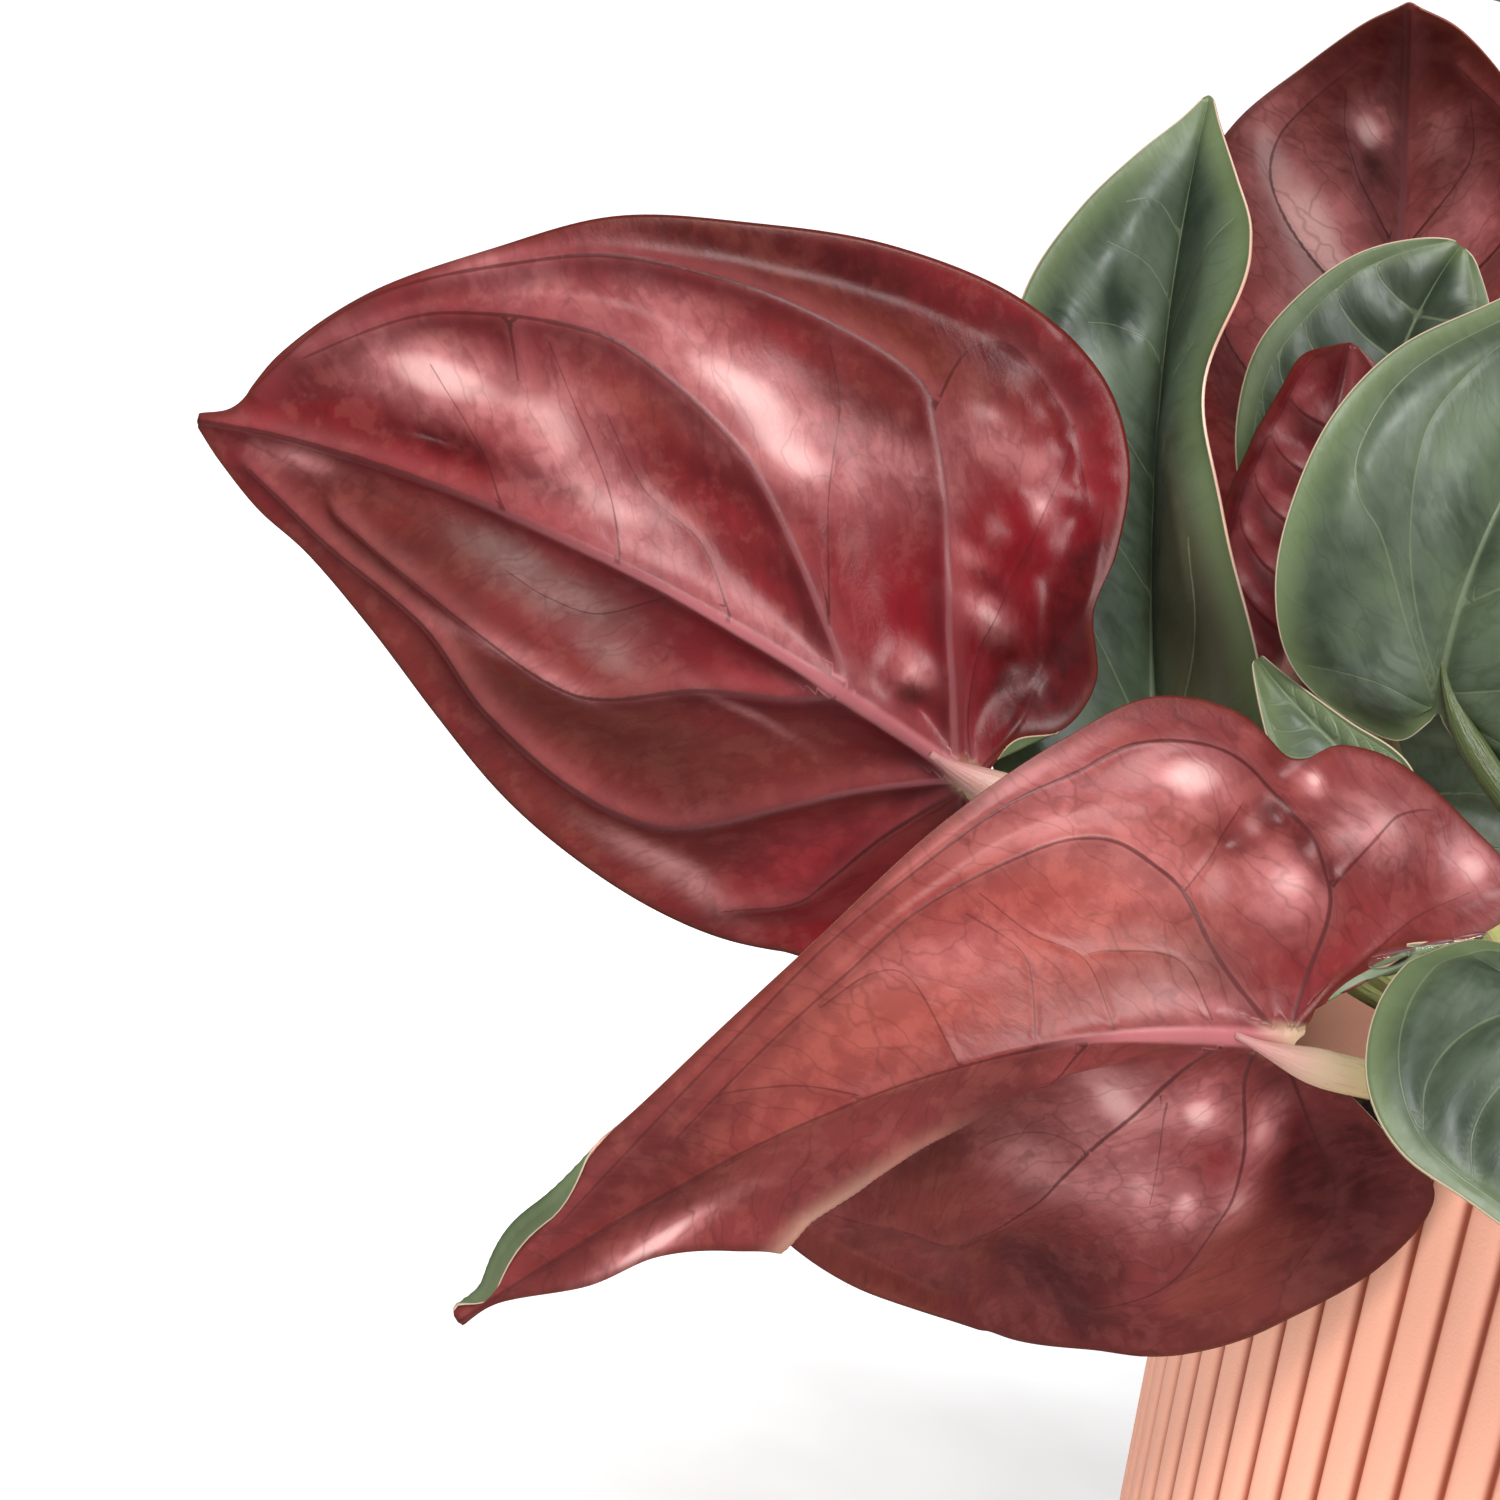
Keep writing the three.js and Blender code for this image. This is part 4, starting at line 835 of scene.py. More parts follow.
def plain_veins(leaf, length):
    """Veins by rule: laterals bow from the midrib to a vein along the margin, and fan into lobes."""
    veins = [(1.2, 0.35, [(0, 0), (0.3 * length, 0), (0.7 * length, 0), (length, 0)])]
    for side in (1, -1):
        q = np.linspace(0.08, 0.985, 40)
        a, w = flat_place(leaf, length, side, q, np.full(40, 0.84))
        veins.append((0.4, 0.25, [(x, side * y) for x, y in zip(a[::3], w[::3])]))
        front = int(np.argmin(a)) + 1
        for share in (0.03, 0.16, 0.3, 0.45, 0.6, 0.75):
            a0 = share * length
            a1 = a0 + 0.3 * length * (1 - share)
            w1 = float(np.interp(a1, a[front:], w[front:]))
            middle = (a0 + 0.3 * (a1 - a0), 0.55 * w1 * side)
            near = (a0 + 0.65 * (a1 - a0), 0.88 * w1 * side)
            veins.append((0.55, 0.25, [(a0, 0.3 * side), middle, near, (a1, w1 * side)]))
        for k in (0, front // 2, front + 2):
            a1, w1 = a[k], w[k]
            veins.append((0.55, 0.25, [(0.5, 0.3 * side), (0.35 * a1, 0.5 * w1 * side),
                                       (a1, w1 * side)]))
    return veins


def nearest_on(line, points):
    """Offset from each point to its nearest place on a line, the distance and the share along it."""
    start, step = line[:-1], np.diff(line, axis=0)
    size = np.maximum((step ** 2).sum(1), 1e-9)
    along = ((points[:, None, :] - start[None]) * step[None]).sum(2) / size
    along = np.clip(along, 0, 1)
    offset = start[None] + along[..., None] * step[None] - points[:, None, :]
    far = (offset ** 2).sum(2)
    k = far.argmin(1)
    pick = np.arange(len(points))
    return offset[pick, k], np.sqrt(far[pick, k]), (k + along[pick, k]) / len(step)


def vein_field(veins, flat):
    """Offset and distance to the nearest vein, its half width, the nearest main vein, painted flank
    shading.
    """
    gap = np.full(len(flat), 1e9)
    main = np.abs(flat[:, 1])
    best, width = np.zeros(len(flat)), np.zeros(len(flat))
    offset = np.zeros((len(flat), 2))
    painted_flank_shading = np.zeros((len(flat), 3))
    for first, last, marks in veins:
        line = along_list(marks, np.linspace(0, 1, 8 * len(marks)))
        o, d, share = nearest_on(line, flat)
        wide = first + (last - first) * share
        closer = d - wide < gap
        gap = np.where(closer, d - wide, gap)
        best = np.where(closer, d, best)
        offset = np.where(closer[:, None], o, offset)
        width = np.where(closer, wide, width)
        if first >= MAIN_VEIN:
            main = np.minimum(main, d)
        # Painted shade on one side of each stout vein and painted light on the other, by the way the side
        # leans
        near = ease((first - 0.3) / 0.3) * np.exp(-(np.maximum(d - wide, 0) / 1.7) ** 2)
        lean = ease(0.5 + (o[:, 1] - 0.6 * o[:, 0]) / (wide + 1.4))
        painted_flank_shading[:, 0] += near * lean
        painted_flank_shading[:, 1] += near * (1 - lean)
    return offset, best, width, main, np.minimum(painted_flank_shading, 1.0)


def edge_distance(leaf, length, flat):
    """Distance from each flat place to the blade's margin."""
    best = np.full(len(flat), 1e9)
    for side in (1, -1):
        q = np.linspace(0, 1, 120)
        a, w = flat_place(leaf, length, side, q, np.ones(120))
        margin = np.column_stack([a, side * w])
        t = np.linspace(0.3, 1, 10)
        a, w = flat_place(leaf, length, side, np.zeros(10), t)
        sinus = np.column_stack([a, side * w])
        for line in (margin, sinus):
            best = np.minimum(best, nearest_on(line, flat)[1])
    return best


def patches(marks, flat):
    """Soft patches, each (a, w, reach along, reach across, amount), added up and kept within 0 to 1."""
    total = np.zeros(len(flat))
    for a, w, along, across, amount in marks:
        total += amount * np.exp(-((flat[:, 0] - a) / along) ** 2 - ((flat[:, 1] - w) / across) ** 2)
    return np.clip(total, 0, 1)


def soften(field, times):
    """Evens out a height field kept as a grid of rows."""
    for _ in range(times):
        wide = np.pad(field, 1, mode="edge")
        field = (wide[:-2, 1:-1] + wide[2:, 1:-1] + wide[1:-1, :-2] + wide[1:-1, 2:] + 4 * field) / 8
    return field


def calm_fold(leaf, flat):
    """0 on a pleat's fold, where the blade stays smooth, and 1 away from it."""
    calm = np.ones(len(flat))
    for side, key in ((1, "left"), (-1, "right")):
        if "pleat" in leaf[key]:
            here = flat[:, 1] * side > 0
            off, on, _, _ = pleat_marks(leaf[key]["pleat"], flat[here, 0], flat[here, 1] * side)
            calm[here] = 1 - np.exp(-(off / CALM_BY_PLEAT) ** 2) * ease(on / 24)
    return calm


def relief(leaf, flat, fields, shape, seed, quilt):
    """How far each point moves out of the plain blade, towards the upper face, in millimetres."""
    distance, width, main, edge = fields
    inner = ease(edge / MARGIN_BAND)
    sails = quilt * (1 - np.exp(-main / SAIL_REACH)) * inner * calm_fold(leaf, flat)
    lift = soften(sails.reshape(shape), 6).ravel()
    lift -= 0.55 * width * np.exp(-(distance / np.maximum(1.3 * width, 0.45)) ** 2)
    lift += SWELL_HEIGHT * smooth_noise(flat, SWELL_SIZE, seed) * inner
    lift += RIPPLE_HEIGHT * smooth_noise(flat, RIPPLE_SIZE, seed + 1) * inner * ease(distance / 3.0)
    for a, w, along, across, height in PATCHES.get(leaf["name"], {}).get("bumps", []):
        lift += height * np.exp(-((flat[:, 0] - a) / along) ** 2
                                - ((flat[:, 1] - w) / across) ** 2)
    return lift


def shade_pleat(leaf, flat, tones):
    """Keeps the partly lit warm tone off the part behind a pleat, and marks its fold and its front edge.
    """
    fold = np.zeros((len(flat), 3))
    for side, key in ((1, "left"), (-1, "right")):
        pleat = leaf[key].get("pleat")
        if pleat is None:
            continue
        here = flat[:, 1] * side > 0
        off, on, _, _ = pleat_marks(pleat, flat[here, 0], flat[here, 1] * side)
        over = ease(0.5 + 0.5 * off / pleat["width"])
        deep = ease(on / pleat["fade"] - 0.2)
        # The part behind the pleat lies in shade: it loses the lit tone, and its fold wall gets painted
        # shade
        tones[here, 0] *= 1 - over
        fold[here, 0] = ease((over - 0.12) / 0.2) * ease((0.97 - over) / 0.2) * deep
        # Painted highlight along the pleat's front edge
        fold[here, 1] = ease((on - 26) / 40) * np.exp(-((off + 3.2) / 1.8) ** 2)
    return tones, fold


def make_blade(leaf, number, look, materials):
    """One blade: a fine grid shaped into the leaf, puckered, veined and given its thickness."""
    rows, columns = leaf["cells"]
    bm = bmesh.new()
    bmesh.ops.create_grid(bm, x_segments=2 * columns, y_segments=rows, size=1.0)
    mesh = bpy.data.meshes.new(leaf["name"])
    bm.to_mesh(mesh)
    bm.free()
    grid = mesh_points(mesh)
    order = np.lexsort((grid[:, 0], grid[:, 1]))
    grid = grid[order]
    length = bezier_length(leaf["midrib"])
    q, t = (grid[:, 1] + 1) / 2, np.abs(grid[:, 0])
    left = grid[:, 0] >= -1e-6
    places = np.empty_like(grid)
    flat = np.empty((len(grid), 2))
    for side, mask in ((1, left), (-1, ~left)):
        places[mask] = blade_places(leaf, length, side, q[mask], t[mask])
        a, w = flat_place(leaf, length, side, q[mask], t[mask])
        flat[mask] = np.column_stack([a, side * w])
    veins = leaf.get("veins") or plain_veins(leaf, length)
    offset, distance, width, main, painted_flank_shading = vein_field(veins, flat)
    edge = edge_distance(leaf, length, flat)
    sheet = places.reshape(rows + 1, 2 * columns + 1, 3)
    normal = -np.cross(np.gradient(sheet, axis=1), np.gradient(sheet, axis=0))
    normal = unit(normal).reshape(-1, 3)
    quilt = look.quilt / MM * leaf.get("pucker", 1.0)
    fields = (distance, width, main, edge)
    places += normal * relief(leaf, flat, fields, sheet.shape[:2], number, quilt)[:, None]
    low, high = (np.array(corner) / MM for corner in CAD_BOX)
    places = np.clip(places, low + ROOM_IN_BOX, high - ROOM_IN_BOX)
    back = np.argsort(order)
    move_points(mesh, places[back] * MM)
    marks = PATCHES.get(leaf["name"], {})
    tones, tints = (np.column_stack([patches(marks.get(key, []), flat) for key in keys])
                    for keys in (("blush", "painted_highlight", "painted_shade"), ("crimson", "brown", "painted_reflection")))
    tones, fold = shade_pleat(leaf, flat, tones)
    kept = {"flat": np.column_stack([flat, q]), "veins": np.column_stack([offset, distance]),
            "vein_width": width, "painted_flank_shading": painted_flank_shading, "edge": edge, "tones": tones, "tints": tints,
            "fold": fold}
    for name, values in kept.items():
        store(mesh, name, values[back])
    piece = bpy.data.objects.new(leaf["name"].replace("blade", "leaf"), mesh)
    for material in materials:
        mesh.materials.append(material)
    solid = piece.modifiers.new("Thickness", "SOLIDIFY")
    solid.thickness = look.thickness
    solid.offset = 0
    solid.material_offset = 1
    solid.material_offset_rim = 2
    slot = next(part["material_slot"] for part in frame["record"]["subparts"]
                if part["node"] == leaf["name"])
    return finish_piece(piece, slot, leaf["name"])


# Stems and stalks
# Heights in millimetres. A stalk's end lies just under the blade's root and runs on into its midrib.

STEM_FOOT, STEM_COLLAR = 86.3, 110.0
STEM_KNOTS = (0.62, 0.84)
STALK_UNDER, STALK_RUN_ON = 0.8, 7.0
STEM_SIDES, STALK_SIDES = 20, 16
STEM_STEPS, STALK_STEPS = 18, 48


def frames_along(points):
    """Two unit vectors across a line at each of its points, turning as little as possible."""
    tangent = unit(np.gradient(points, axis=0))
    side = unit(np.cross(tangent[0], [0.3, 0.2, 0.93]))
    sides = []
    for direction in tangent:
        side = unit(side - direction * (side @ direction))
        sides.append(side)
    sides = np.array(sides)
    return sides, np.cross(tangent, sides)


def edges_between(ring):
    """The edges that join a ring's vertices."""
    members = set(ring)
    return list({e for v in ring for e in v.link_edges if e.other_vert(v) in members})


def grow_ring(bm, ring, edges):
    """Extrudes a ring and gives the new one, its vertices in the same order, and its edges."""
    grown = bmesh.ops.extrude_edge_only(bm, edges=edges)["geom"]
    fresh = {g for g in grown if isinstance(g, bmesh.types.BMVert)}
    ring = [next(e.other_vert(v) for e in v.link_edges if e.other_vert(v) in fresh) for v in ring]
    return ring, edges_between(ring)


def sweep(bm, points, radii, segments, layers):
    """A closed round body along a line. It grows ring by ring from one circle."""
    spoke, way = layers
    sides, rises = frames_along(points)
    ring = bmesh.ops.create_circle(bm, cap_ends=False, segments=segments, radius=1.0)["verts"]
    turns = [math.atan2(v.co.y, v.co.x) for v in ring]
    first, edges = ring, edges_between(ring)
    for k, (centre, radius) in enumerate(zip(points, radii)):
        if k:
            ring, edges = grow_ring(bm, ring, edges)
        share = k / (len(points) - 1)
        for v, turn in zip(ring, turns):
            across = math.cos(turn) * sides[k] + math.sin(turn) * rises[k]
            v.co = Vector(centre + across * radius)
            v[spoke] = Vector((math.cos(turn), math.sin(turn), 0))
            v[way] = share
    bmesh.ops.contextual_create(bm, geom=list(first))
    bmesh.ops.contextual_create(bm, geom=list(ring))


def stalk_line(shoot, leaf, steps):
    """The way of a leaf stalk, from its stem to just under the blade's root."""
    along = unit(np.array(leaf["midrib"][1], float) - leaf["midrib"][0])
    up = unit(np.array(leaf["face"][0], float))
    up = unit(up - along * (up @ along))
    head = np.array(shoot["head"], float) - (0, 0, 3)
    joint = np.array(leaf["midrib"][0], float) - up * STALK_UNDER + along * STALK_RUN_ON
    return bezier([head, *leaf["petiole"], joint], np.linspace(0, 1, steps))


def make_shoot(name, look, material):
    """One shoot: its stem and the stalks of its leaves, each with a sheath."""
    shoot = SHOOTS[name]
    bm = bmesh.new()
    layers = (bm.verts.layers.float_vector.new("spoke"), bm.verts.layers.float.new("way"))
    warm = bm.verts.layers.float.new("warm")
    foot, collar = [*shoot["foot"], STEM_FOOT], [*shoot["foot"], STEM_COLLAR]
    share = np.linspace(0, 1, STEM_STEPS)
    stem = along_list([foot, collar, shoot["head"]], share)
    knots = 1 + 0.09 * np.exp(-((share[:, None] - STEM_KNOTS) / 0.025) ** 2).sum(1)
    radii = look.stem_radius / MM * knots * (1 - 0.12 * share)
    radii[-1] *= 0.55
    sweep(bm, stem, radii, STEM_SIDES, layers)
    for leaf in BLADES:
        if leaf["shoot"] != name:
            continue
        line = stalk_line(shoot, leaf, STALK_STEPS)
        share = np.linspace(0, 1, STALK_STEPS)
        thick = look.stalk_radius / MM * leaf.get("stalk", 1.0)
        sheath = look.sheath_radius / MM
        radii = thick + (sheath - thick) * (1 - ease((share - 0.22) / 0.2))
        radii *= 1 - 0.82 * ease((share - 0.78) / 0.22)
        radii[0] *= 0.7
        known = set(bm.verts)
        sweep(bm, line, radii, STALK_SIDES, layers)
        for v in bm.verts:
            if v not in known:
                v[warm] = leaf.get("flush", 1.0)
    bmesh.ops.scale(bm, vec=(MM, MM, MM), verts=bm.verts)
    bmesh.ops.recalc_face_normals(bm, faces=bm.faces)
    return finish_piece(piece_from(bm, "stalks_" + name, material), "shoot", "shoot_" + name)


# Pot and soil
# Heights in metres

POT_FLOOR = 0.005
SOIL_TOP, SOIL_SHOULDER, SOIL_FOOT = 0.106, 0.103, 0.094
SOIL_ROOM = 0.0004
CRUMB_SIZES = (0.0007, 0.001, 0.0014, 0.002)


def wall_radius(look, z):
    """Radius over the ribs at height z, in metres."""
    share = max(z, 0) / look.height
    return look.base_radius + (look.rim_radius - look.base_radius) * share ** 0.9


def make_pot(look, material):
    """The pot: a rippled ring grown up the wall, over the rim, down inside and across the floor."""
    high, wall = look.height, look.wall
    lip, foot = 0.0009, 0.0015
    points_a_rib, wall_steps = 8, 30
    bm = bmesh.new()
    depth = bm.verts.layers.float.new("painted_groove_shade")
    count = look.ribs * points_a_rib
    ring = bmesh.ops.create_circle(bm, cap_ends=False, segments=count, radius=1.0)["verts"]
    turns = [math.atan2(v.co.y, v.co.x) for v in ring]
    across = [2 * ((turn * look.ribs / math.tau) % 1) - 1 for turn in turns]
    edges = edges_between(ring)
    first = ring
    outer = [(0.0, -foot), (foot * 0.35, -foot * 0.3), (foot, 0)]
    outer += [(foot + (high - lip - foot) * k / wall_steps, 0) for k in range(1, wall_steps + 1)]
    profile = [(z, wall_radius(look, z) + shift, 1.0) for z, shift in outer]
    top = wall_radius(look, high)
    profile += [(high - lip * 0.3, top - lip * 0.35, 0.8), (high, top - lip, 0.45)]
    profile += [(high, top - wall + 2 * lip, 0.0), (high - lip * 0.3, top - wall + 0.6 * lip, 0.0)]
    inner = (high - lip, 0.112, SOIL_TOP, 0.06, POT_FLOOR)
    profile += [(z, wall_radius(look, z) - wall, 0.0) for z in inner]
    for k, (z, radius, ribbed) in enumerate(profile):
        if k:
            ring, edges = grow_ring(bm, ring, edges)
        for v, turn, c in zip(ring, turns, across):
            reach = radius - look.rib_depth * ribbed * c ** 4
            v.co = (reach * math.cos(turn), reach * math.sin(turn), z)
            # How deep in a groove each point lies, the share of painted shade there
            v[depth] = ribbed * c ** 4
    bmesh.ops.contextual_create(bm, geom=list(first))
    bmesh.ops.contextual_create(bm, geom=list(ring))
    bmesh.ops.recalc_face_normals(bm, faces=bm.faces)
    return finish_piece(piece_from(bm, "ribbed_pot", material), "pot", "pot")


def soil_height(x, y):
    """Height of the soil, as on the CAD solid, in metres."""
    swell = 1.2 * MM
    x, y = x / MM, y / MM
    wave = math.sin(0.31 * x + 0.6) * math.cos(0.27 * y) + 0.6 * math.sin(0.53 * y + 0.17 * x)
    return SOIL_TOP + swell * wave


def make_soil(look, pot, material):
    """The potting mix: a disc of rings with a rough top, and loose crumbs on it."""
    radius = wall_radius(pot, SOIL_TOP) - pot.wall - SOIL_ROOM
    rings, spokes = 46, 220
    bm = bmesh.new()
    ring = bmesh.ops.create_circle(bm, cap_ends=False, segments=spokes, radius=1.0)["verts"]
    turns = [math.atan2(v.co.y, v.co.x) for v in ring]
    first, edges = ring, edges_between(ring)
    levels = [(radius, SOIL_FOOT), (radius, SOIL_SHOULDER)]
    levels += [(radius * (1 - k / rings), None) for k in range(rings)]
    for k, (reach, z) in enumerate(levels):
        if k:
            ring, edges = grow_ring(bm, ring, edges)
        for v, turn in zip(ring, turns):
            x, y = reach * math.cos(turn), reach * math.sin(turn)
            spot = Vector((x, y, 0.0)) / MM
            rough = 0.9 * noise.noise(spot / 5.5) + 0.7 * noise.noise(spot / 2.2)
            v.co = (x, y, z if z else soil_height(x, y) + rough * MM)
    bmesh.ops.contextual_create(bm, geom=list(ring))
    bmesh.ops.contextual_create(bm, geom=list(first))
    rng = random.Random(11)
    for _ in range(look.crumbs):
        reach = (radius - 0.003) * math.sqrt(rng.random())
        turn = rng.uniform(0, math.tau)
        size = rng.choice(CRUMB_SIZES) * rng.uniform(0.8, 1.3)
        x, y = reach * math.cos(turn), reach * math.sin(turn)
        crumb = bmesh.ops.create_icosphere(bm, subdivisions=1, radius=size)["verts"]
        stretch = Vector((rng.uniform(0.7, 1.9), rng.uniform(0.6, 1.1), rng.uniform(0.4, 0.9)))
        place = Matrix.Translation((x, y, soil_height(x, y) + 0.3 * size))
        spin = Matrix.Rotation(rng.uniform(0, math.tau), 4, "Z")
        for v in crumb:
            dent = 1 + 0.35 * noise.noise(v.co * 900 + Vector((x, y, 0)) * 4000)
            v.co = place @ spin @ Vector(a * b * dent for a, b in zip(v.co, stretch))
    bmesh.ops.recalc_face_normals(bm, faces=bm.faces)
    return finish_piece(piece_from(bm, "potting_mix", material), "soil", "soil")


# Water

# Drops that hang under leaf two's upper lobe: flat place and size, and the part of leaf nine that is
# sprinkled, from and to on the flat blade

HANGING_DROPS = [(-10, 12.0, 1.3), (-15.5, 13.6, 1.1), (-20, 15.2, 0.8)]
DROP_SIDE = (0.85, 0.42, 0.33)
SPRINKLED = ((8, 34), (-22, -4))
SPRINKLE_SIZES = (0.00012, 0.00016, 0.00022, 0.0003)


def blade_mesh(name):
    """A finished blade's mesh and the flat place of each of its vertices."""
    mesh = bpy.data.objects[name].data
    flat = np.empty(len(mesh.vertices) * 3)
    mesh.attributes["flat"].data.foreach_get("vector", flat)
    return mesh, flat.reshape(-1, 3)


def add_drop(bm, place, axes, sizes, flat_top):
    """One drop: a round body stretched along three axes, with a flatter top."""
    body = bmesh.ops.create_icosphere(bm, subdivisions=3, radius=1.0)["verts"]
    for v in body:
        x, y, z = v.co
        z = z * flat_top if z > 0 else z
        v.co = place + axes[0] * (x * sizes[0]) + axes[1] * (y * sizes[1]) + axes[2] * (z * sizes[2])


def make_drops(look, material):
    """Drops that hang under a lobe of leaf two, and a sprinkle of tiny ones on leaf nine."""
    bm = bmesh.new()
    mesh, flat = blade_mesh("leaf_02_lower_left")
    down = Vector((0, 0, 1))
    for a, across, share in HANGING_DROPS:
        k = int(np.argmin((flat[:, 0] - a) ** 2 + (flat[:, 1] - across) ** 2))
        side = Vector(DROP_SIDE).normalized()
        size = look.hanging * share
        axes = (side, side.cross(down).normalized(), down)
        place = mesh.vertices[k].co - down * size * 0.1
        add_drop(bm, place, axes, (size, size * 0.5, size * 0.55), 0.3)
    mesh, flat = blade_mesh("leaf_09_front_green")
    rng = random.Random(5)
    inside = np.ones(len(flat), dtype=bool)
    for axis, (start, end) in enumerate(SPRINKLED):
        inside &= (flat[:, axis] > start) & (flat[:, axis] < end)
    spots = [int(k) for k in np.flatnonzero(inside)]
    for k in rng.sample(spots, min(look.sprinkle, len(spots))):
        v = mesh.vertices[k]
        size = rng.choice(SPRINKLE_SIZES)
        side = v.normal.orthogonal().normalized()
        axes = (side, v.normal.cross(side), v.normal)
        sizes = (size * rng.uniform(1, 2.2), size, size * 0.6)
        add_drop(bm, v.co + v.normal * 0.0002, axes, sizes, 1.0)
    return finish_piece(piece_from(bm, "water_drops", material), "green_leaf")


# Materials
# Colours that are laid over a ground, in linear light

MOTTLED_PINK = (0.36, 0.105, 0.080, 1)
BROWN_RED = (0.140, 0.030, 0.018, 1)
DEEP_CRIMSON = (0.150, 0.0035, 0.008, 1)
# Painted reflection of the window
GREY_PAINTED_REFLECTION = (0.25, 0.160, 0.145, 1)
# Painted highlights, pink and, where strongest, pale
PINK_PAINTED_HIGHLIGHT = (0.48, 0.185, 0.185, 1)
PALE_PAINTED_HIGHLIGHT = (0.66, 0.42, 0.39, 1)
# Painted shade
NEAR_BLACK_PAINTED_SHADE = (0.040, 0.0025, 0.003, 1)
SHADED_FLANK = (0.062, 0.004, 0.006, 1)
LIT_FLANK = (0.40, 0.13, 0.135, 1)
DARK_MARGIN = (0.085, 0.014, 0.008, 1)
# Painted highlight on a pleat's front edge
FOLD_EDGE_PAINTED_HIGHLIGHT = (0.46, 0.27, 0.19, 1)
STRAW_ROOT = (0.46, 0.34, 0.21, 1)
GREY_GREEN = (0.080, 0.110, 0.072, 1)
NET_GREEN = (0.018, 0.030, 0.014, 1)
SHADED_GREEN = (0.020, 0.030, 0.015, 1)
LIT_GREEN = (0.12, 0.15, 0.085, 1)
OLIVE_BLUSH = (0.10, 0.062, 0.028, 1)
# Painted highlight on the green face
SILVER_PAINTED_HIGHLIGHT = (0.17, 0.205, 0.155, 1)
# Painted shade on the green face
DEEP_GREEN_PAINTED_SHADE = (0.010, 0.016, 0.010, 1)
YELLOW_MARGIN = (0.125, 0.165, 0.065, 1)
VEIN_GREEN = (0.15, 0.18, 0.10, 1)
OLIVE_STALK = (0.075, 0.095, 0.035, 1)
RED_STRIPE = (0.34, 0.07, 0.07, 1)
SHEATH_GREEN = (0.50, 0.54, 0.26, 1)
STRAW_STALK = (0.47, 0.33, 0.25, 1)
MAUVE_STALK = (0.40, 0.165, 0.16, 1)


class Wiring:
    """A short way to lay out the nodes of one material or group."""

    def __init__(self, tree):
        self.tree = tree

    def add(self, kind, inputs=None, **settings):
        """A node with its settings, and each named input set or linked."""
        made = self.tree.nodes.new(kind)
        for key, value in settings.items():
            setattr(made, key, value)
        for key, value in (inputs or {}).items():
            self.feed(made.inputs[key], value)
        return made

    def feed(self, socket, value):
        """Links a socket to another, or sets its value."""
        if isinstance(value, bpy.types.NodeSocket):
            self.tree.links.new(value, socket)
        else:
            socket.default_value = value

    def math(self, operation, a, b=0.0, c=0.0):
        """A sum, product or other arithmetic."""
        made = self.tree.nodes.new("ShaderNodeMath")
        made.operation = operation
        for socket, value in zip(made.inputs, (a, b, c)):
            self.feed(socket, value)
        return made.outputs[0]

    def step(self, value, low, high, start=0.0, end=1.0):
        """A smooth step of a value between two marks."""
        made = self.add("ShaderNodeMapRange", interpolation_type="SMOOTHSTEP")
        for key, v in (("Value", value), ("From Min", low), ("From Max", high),
                       ("To Min", start), ("To Max", end)):
            self.feed(made.inputs[key], v)
        return made.outputs["Result"]

    def vary(self, value, start, end):
        """A smooth change from start to end as a value goes from 0 to 1."""
        return self.step(value, 0.0, 1.0, start, end)

    def product(self, first, *others):
        """Values multiplied."""
        for other in others:
            first = self.math("MULTIPLY", first, other)
        return first

    def blend(self, first, share, second, rest):
        """Two values added up by their shares."""
        return self.math("ADD", self.product(first, share), self.product(second, rest))

    def coat(self, base, colour, *shares):
        """A colour laid over another by the product of the shares."""
        return self.mix(self.product(*shares), base, colour)

    def mix(self, share, first, second):
        """A blend of two colours."""
        made = self.add("ShaderNodeMix", data_type="RGBA")
        for socket, value in ((made.inputs[0], share), (made.inputs[6], first),
                              (made.inputs[7], second)):
            self.feed(socket, value)
        return made.outputs[2]

    def vector(self, operation, a, b=(0.0, 0.0, 0.0)):
        """Vector arithmetic."""
        made = self.add("ShaderNodeVectorMath", operation=operation)
        self.feed(made.inputs[0], a)
        self.feed(made.inputs[1], b)
        return made.outputs["Vector"]

    def length(self, a):
        """Length of a vector."""
        made = self.add("ShaderNodeVectorMath", operation="LENGTH")
        self.feed(made.inputs[0], a)
        return made.outputs["Value"]

    def split(self, vector):
        """The three parts of a vector."""
        return self.add("ShaderNodeSeparateXYZ", {"Vector": vector}).outputs

    def attribute(self, name, output="Vector"):
        """A value kept on the piece's points."""
        return self.add("ShaderNodeAttribute", attribute_name=name).outputs[output]

    def noise(self, vector, scale, detail=2.0, output="Fac", rough=0.5):
        """Cloudy noise."""
        made = self.add("ShaderNodeTexNoise", {"Vector": vector, "Scale": scale, "Detail": detail,
                                               "Roughness": rough})
        return made.outputs[output]

    def cracks(self, vector, scale):
        """Distance to the nearest border of a net of cells."""
        made = self.add("ShaderNodeTexVoronoi", {"Vector": vector, "Scale": scale},
                        feature="DISTANCE_TO_EDGE")
        return made.outputs["Distance"]

    def group(self, tree, **inputs):
        """One of the shared effects."""
        made = self.add("ShaderNodeGroup", node_tree=tree)
        for key, value in inputs.items():
            self.feed(made.inputs[key.replace("_", " ")], value)
        return made.outputs

    def bump(self, height, strength, distance):
        """A bumped normal."""
        return self.add("ShaderNodeBump", {"Height": height, "Strength": strength,
                                           "Distance": distance}).outputs["Normal"]


